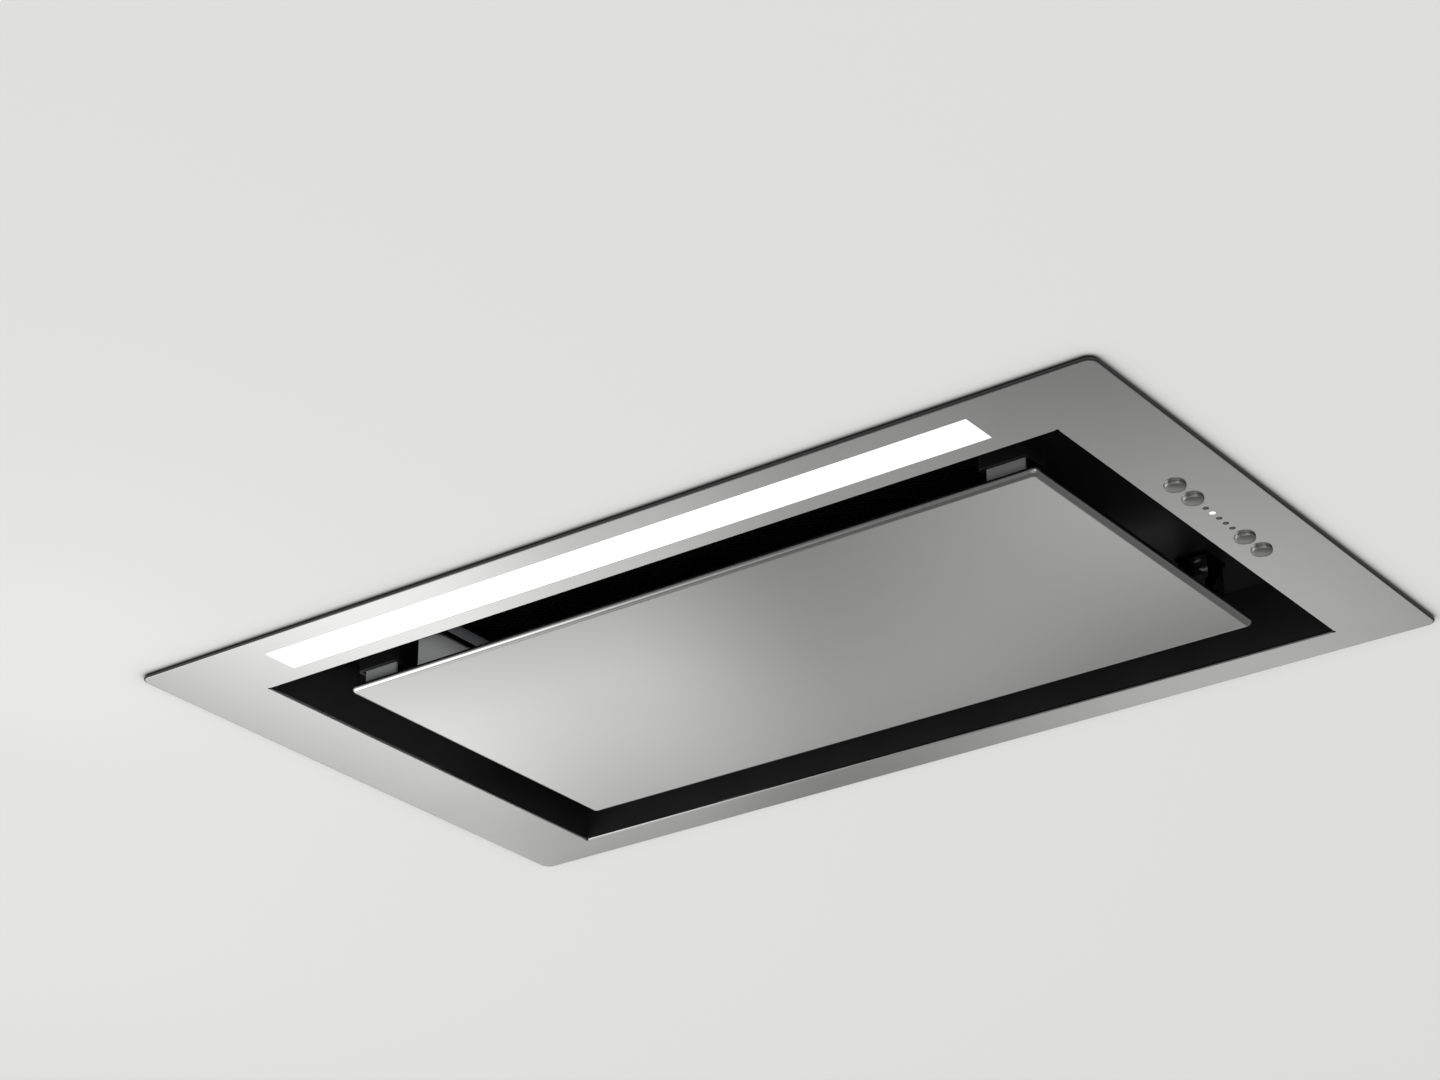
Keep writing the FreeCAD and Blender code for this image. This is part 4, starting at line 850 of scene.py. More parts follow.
    def bevel(self, width: float, segments: int) -> "Workpiece":
        """Rounds the selected edges by a width in millimetres, in some facets."""
        bpy.ops.mesh.bevel(offset=width * MM, segments=segments, affect="EDGES")
        return self.done()

    def round_edges(self, test: Test, width: float, segments: int) -> "Workpiece":
        """Rounds the edges that a test takes, as bevel does."""
        return self.pick(Pick.EDGES, test).bevel(width, segments)

    def modify(self, kind: str, **settings: Any) -> "Workpiece":
        """Adds a modifier and applies it.

        Args:
            kind: Blender's name of the modifier.
            settings: Its settings.

        Returns:
            The workpiece.
        """
        self.hold()
        modifier = self.obj.modifiers.new(kind.lower(), kind)
        for key, value in settings.items():
            setattr(modifier, key, value)
        bpy.ops.object.modifier_apply(modifier=modifier.name)
        return self

    def move(self, place: Matrix) -> "Workpiece":
        """Moves the mesh itself, so that its object stays at the origin."""
        self.obj.data.transform(place)
        return self

    def repeat(self, places: Sequence[Matrix]) -> "Workpiece":
        """Copies the piece to each place and joins the copies.

        Args:
            places: Where the copies go, from the origin.

        Returns:
            One workpiece of all the copies.
        """
        twins = []
        for place in places:
            self.hold()
            bpy.ops.object.duplicate()
            bpy.context.object.data.transform(place)
            twins.append(bpy.context.object)
        name = self.obj.name
        bpy.data.objects.remove(self.obj)
        self.obj = twins[0]
        return self.join(*twins[1:]).take(name)

    def join(self, *others: bpy.types.Object) -> "Workpiece":
        """Joins objects to the piece, which keeps its name.

        Args:
            others: What is joined.

        Returns:
            The workpiece of them all.
        """
        self.hold()
        for other in others:
            other.select_set(True)
        bpy.ops.object.join()
        return self

    def finish(self, finish: Finish, slot: str, body: str, *nodes: str) -> None:
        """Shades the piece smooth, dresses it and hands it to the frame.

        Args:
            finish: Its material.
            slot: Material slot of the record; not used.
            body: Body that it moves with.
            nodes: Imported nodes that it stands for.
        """
        self.hold()
        bpy.ops.object.shade_smooth_by_angle(angle=math.radians(35))
        finish.dress(self.obj)
        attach(self.obj, body)
        if nodes:
            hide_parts(*nodes)
        LOG.info("piece %s on %s, %d faces", self.obj.name, body, len(self.obj.data.polygons))


@dataclass
class ControlStrip:
    """Four domed push buttons and five light pipes in the frame's right margin."""

    cap_radius: float = 4.75
    crown: float = 0.5
    edge_round: float = 0.7
    arc_steps: int = 6
    facets: int = 64
    collar_radius: float = 5.95
    collar_low: float = 3.15
    collar_high: float = 4.15
    collar_slope: float = 0.02
    stem_radius: float = 3.0
    pipe_radius: float = 1.4
    pipe_pitch: float = 5.9
    pipe_count: int = 5
    pipe_facets: int = 24
    lit_pipe: int = 1
    keys: tuple[str, ...] = ("power", "slower", "faster", "light")
    # Share of the radius, and height, of each point of a light pipe's rounded face.
    pipe_face: Profile = ((0.0, -0.1), (0.6, -0.06), (0.9, 0.03), (1.0, 0.2))

    def cap_profile(self, height: float) -> list[Pair]:
        """Half section of a button, from the middle of its domed face to its stem's end.

        Args:
            height: Whole height of the button in millimetres.

        Returns:
            Radius and height of each point.
        """
        ball = (self.cap_radius ** 2 + self.crown ** 2) / (2 * self.crown)
        flat = self.cap_radius - self.edge_round
        drop = math.sqrt((ball - self.edge_round) ** 2 - flat ** 2)
        lean = math.atan2(flat, drop)
        points = []
        for i in range(self.arc_steps + 1):
            angle = lean * i / self.arc_steps
            points.append((ball * math.sin(angle), ball - ball * math.cos(angle)))
        for i in range(1, self.arc_steps + 1):
            angle = lean + (math.pi / 2 - lean) * i / self.arc_steps
            points.append((flat + self.edge_round * math.sin(angle),
                           ball - drop - self.edge_round * math.cos(angle)))
        return points + [
            (self.cap_radius, self.collar_low),
            (self.collar_radius, self.collar_low + self.collar_slope),
            (self.collar_radius, self.collar_high),
            (self.stem_radius, self.collar_high + self.collar_slope),
            (self.stem_radius, height), (0.0, height)]

    def build(self) -> None:
        """Makes the buttons and the light pipes."""
        for key in self.keys:
            low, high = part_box(key + "_button")
            axis = ((low.x + high.x) / 2, (low.y + high.y) / 2, low.z)
            profile = self.cap_profile((high.z - low.z) / MM)
            cap = Workpiece.turned(key + "_cap", profile, self.facets)
            cap.move(Matrix.Translation(axis))
            # Turned and polished steel: fine rings round each button's own axis.
            steel = TurnedSteel("steel_turned_" + key, "B0B0AF", "BEBEBD", (0.31, 0.37),
                                grain_mm=0.5, relief_mm=0.004, metallic=1.0, centre=axis)
            cap.finish(steel, "button_metal", key + "_key", key + "_button")
        self.build_pipes()

    def build_pipes(self) -> None:
        """Makes four dark light pipes and the lit one."""
        low, high, middle = box_mm("indicator_lenses")
        r, length = self.pipe_radius, high.z - low.z
        profile = [(share * r, z) for share, z in self.pipe_face] + [(r, length), (0.0, length)]
        places = [spot(middle.x, (i - self.pipe_count // 2) * self.pipe_pitch, low.z)
                  for i in range(self.pipe_count)]
        lit = Workpiece.turned("indicator_lit", profile, self.pipe_facets)
        lit.move(places.pop(self.lit_pipe))
        lit.finish(LIT_LENS, "clear_lens", "hood")
        dark = Workpiece.turned("indicators_dark", profile, self.pipe_facets).repeat(places)
        dark.finish(SMOKED_LENS, "clear_lens", "hood", "indicator_lenses")


@dataclass
class WiringCover:
    """Thin flat cover over the leads on the deck's left side, held by four pan rivets."""

    low: Pair = (-214.0, -54.0)
    high: Pair = (-162.5, 76.0)
    sheet: float = 0.8
    corner: float = 5.0
    edge: float = 0.2
    margin: float = 6.0
    rows: Pair = (-19.0, 69.0)
    rivet: Profile = ((0.0, -0.7), (1.2, -0.65), (2.0, -0.4), (2.3, 0.0), (0.0, 0.0))

    def build(self) -> None:
        """Makes the cover with rounded corners, a broken edge and its rivets."""
        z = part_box("filter_deck")[0].z / MM
        face = z - self.sheet
        cover = Workpiece.block("deck_wiring_cover", (*self.low, face), (*self.high, z))
        cover.round_edges(upright, self.corner, 5)
        cover.round_edges(lambda p, d: p.z < z - 0.9 * self.sheet, self.edge, 2)
        xs = (self.low[0] + self.margin, self.high[0] - self.margin)
        rivets = Workpiece.turned("cover_rivet", self.rivet, 20)
        rivets.repeat([spot(x, y, face) for x in xs for y in self.rows])
        cover.join(rivets.obj).finish(PALE_PAINT, "galvanised_sheet", "hood")


@dataclass
class PanelCatches:
    """Two moulded housings under the deck that hold the magnets over the panel's strikes."""

    low: Point = (163.0, -83.0, 8.0)
    high: Point = (188.0, -66.5, 33.0)
    wall: float = 2.0
    corner: float = 2.4
    pocket: float = 14.7
    ear: Pair = (12.0, 8.0)
    ear_corner: float = 4.0
    overlap: float = 0.5
    edge: float = 0.4
    sharp: float = 50.0

    def build(self) -> None:
        """Makes one housing with its pocket and ear, and its mirror image."""
        shell = Workpiece.block("catch_cases", self.low, self.high)
        shell.round_edges(upright, self.corner, 5)
        shell.pick(Pick.FACES, lambda p, n: n.z < -0.9)
        bpy.ops.mesh.inset(thickness=self.wall * MM)
        shell.push(0, 0, self.pocket).done()
        middle = (self.low[0] + self.high[0]) / 2
        rear, top = self.high[1:]
        wide, deep = self.ear
        left, right = middle - wide / 2, middle + wide / 2
        ear = Workpiece.block("catch_ear", (left, rear - self.overlap, top - self.wall),
                              (right, rear + deep, top))
        ear.round_edges(lambda p, d: upright(p, d) and p.y > rear, self.ear_corner, 5)
        shell.join(ear.obj)
        shell.modify("BEVEL", width=self.edge * MM, segments=3, limit_method="ANGLE",
                     angle_limit=math.radians(self.sharp))
        shell.repeat([Matrix.Identity(4), Matrix.Diagonal((-1.0, 1.0, 1.0, 1.0))]).hold()
        bpy.ops.object.mode_set(mode="EDIT")
        shell.tidy().finish(BLACK_ABS, "black_plastic", "hood", "catch_housings")


@dataclass
class GreaseFilter:
    """Expanded mesh and sliding latch of the grease filter."""

    strand: float = 0.55
    long_way: float = 6.2
    short_way: float = 3.4
    coarser: float = 1.6
    layer_gap: float = 1.4
    overlap: float = 1.05
    pocket_half: float = 24.5
    pocket_rear: float = -69.0
    latch_edge: float = 0.8
    body_front: float = -89.1
    lip_top: float = 33.0
    lip_inset: float = 6.0
    lip_depth: float = 2.5
    lip_edge: float = 1.0
    bolt_half: float = 11.0
    bolt_levels: Pair = (34.3, 36.3)
    bolt_edge: float = 0.5
    rib_half: Point = (13.0, 0.5, 0.35)
    rib_edge: float = 0.3
    rib_levels: tuple[float, ...] = (27.0, 28.6, 30.2)

    def build(self) -> None:
        """Makes the mesh layers and the latch."""
        self.build_mesh()
        self.build_latch()

    def build_layer(self, name: str, height: float, scale: float) -> Workpiece:
        """One layer of stretched diamonds, cut to the rails and the latch pocket.

        Args:
            name: Name of the layer.
            height: Height of the layer in millimetres.
            scale: How much coarser it is than the finest layer.

        Returns:
            The layer.
        """
        low, high, middle = box_mm("filter_mesh")
        long_way, short_way = scale * self.long_way, scale * self.short_way
        across = self.overlap * (high.x - low.x) / long_way
        count = int(math.ceil(across + self.overlap * (high.y - low.y) / short_way))
        clear_bench()
        bpy.ops.mesh.primitive_grid_add(
            x_subdivisions=count, y_subdivisions=count, size=count * math.sqrt(0.5) * MM,
            location=(0, 0, 0), rotation=(0, 0, math.radians(45)))
        layer = Workpiece(name)
        layer.move(spot(middle.x, middle.y, height)
                   @ Matrix.Diagonal((long_way, short_way, 1.0, 1.0)))
        bpy.ops.object.mode_set(mode="EDIT")
        for normal, place in (((1, 0, 0), high), ((-1, 0, 0), low),
                              ((0, 1, 0), high), ((0, -1, 0), low)):
            bpy.ops.mesh.select_all(action="SELECT")
            bpy.ops.mesh.bisect(plane_co=place * MM, plane_no=normal, clear_outer=True)
        layer.pick(Pick.FACES,
                   lambda p, n: abs(p.x) < self.pocket_half and p.y < self.pocket_rear)
        bpy.ops.mesh.delete(type="FACE")
        layer.done()
        return layer.modify("WIREFRAME", thickness=self.strand * MM, use_even_offset=False)

    def build_mesh(self) -> None:
        """Makes two layers of mesh, the upper one coarser."""
        z, half = box_mm("filter_mesh")[2].z, self.layer_gap / 2
        lower = self.build_layer("filter_mesh_layers", z - half, 1.0)
        upper = self.build_layer("filter_mesh_upper", z + half, self.coarser)
        # The mesh's near-black colour is painted shade.
        lower.join(upper.obj).finish(EXPANDED_ALUMINIUM, "aluminium", "hood", "filter_mesh")

    def build_latch(self) -> None:
        """Makes the latch with rounded edges, a finger lip with ribs and its bolt."""
        low, high, _ = box_mm("filter_latch")
        top, front, inset = self.lip_top, self.body_front, self.lip_inset
        lip_front = high.y - self.lip_depth
        body = Workpiece.block("filter_latch_slider", (low.x, front, top - self.latch_edge), high)
        body.round_edges(every, self.latch_edge, 3)
        lip = Workpiece.block("latch_lip", (low.x + inset, lip_front, low.z),
                              (high.x - inset, high.y, top))
        lip.round_edges(lambda p, d: p.z < top - 0.1, self.lip_edge, 4)
        bolt = Workpiece.block("latch_bolt", (-self.bolt_half, low.y, self.bolt_levels[0]),
                               (self.bolt_half, front + 1, self.bolt_levels[1]))
        bolt.round_edges(lambda p, d: p.y < front, self.bolt_edge, 2)
        rib = Workpiece.block("latch_rib", [-h for h in self.rib_half], self.rib_half)
        rib.round_edges(every, self.rib_edge, 2)
        rib.repeat([spot(0, lip_front, z) for z in self.rib_levels])
        body.join(lip.obj, bolt.obj, rib.obj)
        body.finish(BLACK_ABS, "black_plastic", "latch", "filter_latch")


@dataclass
class Fasteners:
    """Pan-head screws of the case and domed rivets of the deck."""

    head_radius: float = 3.2
    head_height: float = 1.6
    shank_radius: float = 1.5
    shank_length: float = 4.0
    recess: float = 1.0
    recess_arm: float = 0.52
    recess_half: float = 0.11
    edge_gap: float = 6.0
    side_rows: tuple[float, ...] = (58.0, 111.0, 190.0)
    clip_rows: tuple[float, ...] = (64.0, 76.0)
    collar_screw: float = 80.5
    collar_flange: float = 3.0
    rivet_radius: float = 1.6
    rivet_grips: Pair = (2.5, 3.0)
    rivet_rows: tuple[Profile, ...] = (((172.0, 91.5), (172.0, 102.5)), ((175.5, -62.5),))
    # Shares of the radius and of the height of each point of a screw's head.
    head: Profile = ((0.0, 1.0), (0.45, 0.97), (0.75, 0.82), (0.94, 0.5), (1.0, 0.15), (1.0, 0.0))
    # Share of the radius, and height, of each point of a rivet's dome.
    dome: Profile = ((0.0, 1.0), (0.8, 0.9), (1.5, 0.55), (2.0, 0.0), (1.0, 0.0))

    def screw(self, name: str) -> Workpiece:
        """One pan-head screw with a cross recess, its head's underside on the origin.

        Args:
            name: Name of the piece.

        Returns:
            The screw, pointing down.
        """
        r, h = self.head_radius, self.head_height
        s, length = self.shank_radius, self.shank_length
        profile = [(a * r, b * h) for a, b in self.head]
        profile += [(s, 0.0), (s, 0.4 - length), (0.7 * s, -length), (0.0, -length)]
        made = Workpiece.turned(name, profile, 20)
        arm, half = self.recess_arm * r, self.recess_half * r
        for x, y in ((arm, half), (half, arm)):
            cutter = Workpiece.block("recess", (-x, -y, h - self.recess), (x, y, h + 1)).obj
            made.modify("BOOLEAN", operation="DIFFERENCE", object=cutter, solver="EXACT")
            bpy.data.objects.remove(cutter)
        return made

    def build(self) -> None:
        """Makes all screws and rivets that show."""
        low, high, _ = box_mm("case_left")
        x = -low.x
        places = []
        for side, way in BOTH_SIDES:
            for y in (low.y + self.edge_gap, high.y - self.edge_gap):
                places += [spot(side * x, y, z, way) for z in self.side_rows]
            for y in CLIP_ROWS:
                places += [spot(side * (x + CLIP_SHEET), y, z, way) for z in self.clip_rows]
        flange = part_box("case_top")[1].z / MM + self.collar_flange
        c = self.collar_screw
        places += [spot(a, b, flange) for a in (-c, c) for b in (-c, c)]
        screws = self.screw("case_pan_screws").repeat(places)
        screws.finish(BRIGHT_ZINC, "bright_zinc", "hood", "case_screws")
        self.build_rivets()

    def build_rivets(self) -> None:
        """Makes the six rivets with domed heads on both sides of the deck."""
        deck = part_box("filter_deck")[1].z / MM
        dome = [(share * self.rivet_radius, z) for share, z in self.dome]
        made = []
        for grip, rows in zip(self.rivet_grips, self.rivet_rows):
            foot = [(radius, -grip - rise) for radius, rise in reversed(dome)]
            rivet = Workpiece.turned("deck_dome_rivets", dome + foot, 24)
            places = [spot(side * x, y, deck) for side in (-1, 1) for x, y in rows]
            made.append(rivet.repeat(places))
        made[0].join(made[1].obj).finish(BRIGHT_ZINC, "bright_zinc", "hood", "deck_rivets")


@dataclass
class Case:
    """Pressed beads on the case, the leaf clips and the foam strip."""

    bead_width: float = 9.0
    bead_height: float = 1.3
    bead_sink: float = 0.2
    wall_bead: float = 400.0
    wall_rows: tuple[float, ...] = (75.0, 112.0, 149.0)
    side_bead: float = 190.0
    side_rows: tuple[float, ...] = (110.0, 150.0)
    top_bead: float = 220.0
    top_rows: tuple[float, ...] = (-166.0, -206.0)
    clip_width: float = 22.0
    clip_reach: float = 10.0
    clip_low: float = 19.5
    clip_foot: float = 56.0
    clip_top: float = 84.0
    clip_bend: float = 3.0
    gasket_width: float = 4.0
    gasket_corner: float = 4.6
    soft_edge: float = 0.15

    def bead(self, name: str, length: float) -> Workpiece:
        """One bead with round ends that stands up from the origin.

        Args:
            name: Name of the piece.
            length: Its length along X in millimetres.

        Returns:
            The bead.
        """
        a, w, h = length / 2, self.bead_width / 2, self.bead_height
        made = Workpiece.block(name, (-a, -w, -self.bead_sink), (a, w, h))
        made.round_edges(upright, 0.96 * w, 8)
        return made.round_edges(lambda p, d: p.z > 0.9 * h and abs(d.z) < 0.1, 0.95 * h, 4)

    def build(self) -> None:
        """Makes beads, clips and gasket."""
        self.build_beads()
        self.build_clips()
        self.build_gasket()

    def build_beads(self) -> None:
        """Makes the stiffening beads of the walls and the top."""
        low, high, _ = box_mm("case_top")
        across = turn(90)
        walls = [spot(0, y, z, way) for z in self.wall_rows
                 for y, way in ((low.y, TO_FRONT), (high.y, TO_REAR))]
        ends = [spot(side * high.x, 0, z, way @ across) for side, way in BOTH_SIDES
                for z in self.side_rows]
        top = [spot(x, 0, high.z, across) for x in self.top_rows]
        for name, length, places in (("case_wall_beads", self.wall_bead, walls),
                                     ("case_side_beads", self.side_bead, ends),
                                     ("case_top_beads", self.top_bead, top)):
            beads = self.bead(name, length).repeat(places)
            beads.finish(GALVANISED, "galvanised_sheet", "hood")

    def build_clips(self) -> None:
        """Makes the four bent leaf springs, with rounded bends and cut ends."""
        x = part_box("case_right")[1].x / MM
        w, reach, low, top = self.clip_width / 2, self.clip_reach, self.clip_low, self.clip_top
        path = [(x, -w, top), (x, -w, self.clip_foot), (x + reach, -w, low + reach),
                (x + reach / 4, -w, low)]
        clip = Workpiece.line("cabinet_leaf_clips", path).push(0, 2 * w, 0).done()
        clip.round_edges(lambda p, d: abs(d.y) > 0.9 and low + 1 < p.z < top - 8,
                         self.clip_bend, 5)
        clip.pick(Pick.EDGES,
                  lambda p, d: abs(d.y) > 0.9 and min(abs(p.z - e) for e in (low, top)) < 0.5)
        bpy.ops.mesh.subdivide(number_cuts=1)
        clip.done().modify("SOLIDIFY", thickness=CLIP_SHEET * MM, offset=-1.0)
        clip.modify("BEVEL", width=self.soft_edge * MM, segments=2, limit_method="ANGLE")
        clip.repeat([spot(0, y, 0, way) for y in CLIP_ROWS for way in (None, turn(180))])
        clip.finish(BLUED_SPRING, "spring_steel", "hood", "cabinet_clips")

    def build_gasket(self) -> None:
        """Makes the foam strip on the frame's edge, with round corners and soft edges."""
        low, high, middle = box_mm("frame_gasket")
        wide, deep, thick = high - low
        strip = Workpiece.sheet("frame_foam_strip", (middle.x, middle.y, low.z), wide, deep)
        strip.pick(Pick.FACES, every)
        bpy.ops.mesh.bevel(offset=self.gasket_corner * MM, segments=6, affect="VERTICES")
        strip.done().pick(Pick.FACES, every)
        bpy.ops.mesh.inset(thickness=self.gasket_width * MM)
        bpy.ops.mesh.delete(type="FACE")
        strip.done().modify("SOLIDIFY", thickness=thick * MM, offset=1.0)
        strip.modify("BEVEL", width=self.soft_edge * MM, segments=2, limit_method="ANGLE")
        strip.finish(FOAM, "foam", "hood", "frame_gasket")


@dataclass
class Outlet:
    """Gussets round the duct collar's foot."""

    count: int = 12
    first: float = 15.0
    radius: float = 74.4
    foot: float = 2.9
    reach: float = 7.0
    rise: float = 9.0
    sheet: float = 2.0
    edge: float = 0.4

    def build(self) -> None:
        """Makes the gussets."""
        r, half = self.radius, self.sheet / 2
        z = box_mm("outlet_collar")[0].z + self.foot
        outline = [(r, -half, z), (r + self.reach, -half, z), (r, -half, z + self.rise)]
        gusset = Workpiece.prism("collar_gussets", outline, (0, self.sheet, 0))
        gusset.round_edges(lambda p, d: p.x > r + 1 and p.z > z + 1 and abs(d.y) < 0.5,
                           self.edge, 2)
        gusset.repeat([turn(self.first + i * 360 / self.count) for i in range(self.count)])
        gusset.finish(BLACK_ABS, "black_plastic", "hood")


@dataclass
class ElectronicsBox:
    """Ribs and snap tabs of the lid, and the cable gland."""

    rib_length: float = 100.0
    rib_width: float = 3.0
    rib_height: float = 1.2
    rib_sink: float = 0.2
    rib_edge: float = 0.7
    rib_pitch: float = 14.0
    ribs_each_way: int = 5
    tab_low: Point = (-6.0, -0.6, -11.0)
    tab_high: Point = (6.0, 1.2, 0.0)
    tab_drop: float = 0.4
    tab_edge: float = 0.5
    tab_places: Pair = (-42.0, 42.0)
    gland_hex: float = 11.0
    gland_dome: float = 8.0
    gland_bore: float = 4.5
    grip_count: int = 12
    grip_start: float = 11.8
    grip_edge: float = 0.3
    nut_edge: float = 0.5
    nuts: tuple[tuple[str, float, float], ...] = (
        ("gland_nut", 1.0, 5.0), ("gland_hexagon", 7.0, 11.0))

    def build(self) -> None:
        """Makes the lid's ribs and tabs and the gland."""
        self.build_lid()
        self.build_gland()

    def build_lid(self) -> None:
        """Makes raised ribs on the lid and snap tabs over the box's walls."""
        low, high, middle = box_mm("electronics_lid")
        a, w, n = self.rib_length / 2, self.rib_width / 2, self.ribs_each_way
        ribs = Workpiece.block("electronics_lid_ribs", (-a, -w, -self.rib_sink),
                               (a, w, self.rib_height))
        ribs.round_edges(lambda p, d: p.z > 0.5, self.rib_edge, 3)
        ribs.repeat([spot(middle.x, middle.y + k * self.rib_pitch, high.z)
                     for k in range(-n, n + 1)])
        tabs = Workpiece.block("lid_tab", self.tab_low, self.tab_high)
        tabs.round_edges(lambda p, d: p.y > 1, self.tab_edge, 3)
        tabs.repeat([spot(middle.x + dx, edge, high.z - self.tab_drop, way)
                     for edge, way in ((low.y, turn(180)), (high.y, None))
                     for dx in self.tab_places])
        ribs.join(tabs.obj).finish(BLACK_ABS, "black_plastic", "hood")

    def build_gland(self) -> None:
        """Makes the gland: nut inside, hexagon outside, ribbed dome with a bore."""
        low, high, middle = box_mm("cable_gland")
        b, d, h = self.gland_bore, self.gland_dome, self.gland_hex
        length = high.y - low.y
        profile = [(b, 0.0), (d, 0.0), (d, 7.0), (d, length - 5.5), (0.97 * d, length - 2.6),
                   (0.86 * d, length - 0.8), (0.76 * d, length), (b + 0.5, length),
                   (b, length - 0.6), (b, 0.0)]
        tube = Workpiece.turned("supply_cable_gland", profile, 36)
        grips = Workpiece.block("gland_rib", (d - 0.4, -0.6, self.grip_start),
                                (d + 0.5, 0.6, length - 4.5))
        grips.round_edges(lambda p, e: p.x > d, self.grip_edge, 2)
        grips.repeat([turn(i * 360 / self.grip_count) for i in range(self.grip_count)])
        nuts = []
        for name, bottom, top in self.nuts:
            angles = [math.radians(60 * i) for i in range(6)]
            corners = [(h * math.cos(t), h * math.sin(t), bottom) for t in angles]
            nut = Workpiece.prism(name, corners, (0, 0, top - bottom))
            nut.round_edges(lambda p, e: abs(e.z) < 0.1, self.nut_edge, 3)
            nuts.append(nut.obj)
        tube.join(grips.obj, *nuts).move(spot(middle.x, low.y, middle.z, TO_REAR))
        tube.finish(BLACK_ABS, "black_plastic", "hood", "cable_gland")


def put(name: str, data: bpy.types.ID) -> bpy.types.Object:
    """Adds an object to the scene.

    Args:
        name: Name of the object.
        data: Lamp or camera that it holds.

    Returns:
        The object.
    """
    holder = bpy.data.objects.new(name, data)
    bpy.context.scene.collection.objects.link(holder)
    return holder


@dataclass(frozen=True)
class SoftBox:
    """Lamp with a soft edge that faces the hood.

    Attributes:
        name: Name of the lamp.
        azimuth: Direction from the hood, in degrees from +X towards +Y.
        elevation: Height over the horizon in degrees.
        width: Width of its glow as seen from the hood, in degrees.
        height: Height of its glow in degrees.
        glow: Brightness of its middle, where 1 is white paper.
        distance: Metres from the hood.
        sheet: How many widths of the bell-shaped glow the lamp's sheet is wide.
    """

    name: str
    azimuth: float
    elevation: float
    width: float
    height: float
    glow: float
    distance: float = 4.0
    sheet: ClassVar[float] = 6.0

    def hang(self) -> None:
        """Makes the lamp, with its glow fading to its edges."""
        lamp = bpy.data.lights.new(self.name, "AREA")
        lamp.shape = "RECTANGLE"
        lamp.size = 2 * self.distance * math.radians(self.width)
        lamp.size_y = 2 * self.distance * math.radians(self.height)
        lamp.energy = self.glow * math.pi * lamp.size * lamp.size_y
        lamp.use_nodes = True
        tree = lamp.node_tree
        place = add(tree, "ShaderNodeNewGeometry").outputs["Parametric"]
        off = add(tree, "ShaderNodeVectorMath", {0: place, 1: (0.5, 0.5, 0.0)},
                  operation="SUBTRACT")
        flat = add(tree, "ShaderNodeVectorMath", {
            0: off.outputs[0], 1: (self.sheet, self.sheet, 0.0)}, operation="MULTIPLY")
        square = add(tree, "ShaderNodeVectorMath", {0: flat.outputs[0], 1: flat.outputs[0]},
                     operation="DOT_PRODUCT")
        half = add(tree, "ShaderNodeMath", {0: square.outputs["Value"], 1: -0.5},
                   operation="MULTIPLY")
        bell = add(tree, "ShaderNodeMath", {0: half.outputs[0]}, operation="EXPONENT")
        feed(tree, tree.nodes["Emission"], {"Strength": bell.outputs[0]})
        holder = put(self.name, lamp)
        az, el = math.radians(self.azimuth), math.radians(self.elevation)
        way = Vector((math.cos(az) * math.cos(el), math.sin(az) * math.cos(el), math.sin(el)))
        holder.location = way * self.distance
        holder.rotation_euler = (-way).to_track_quat("-Z", "Y").to_euler()


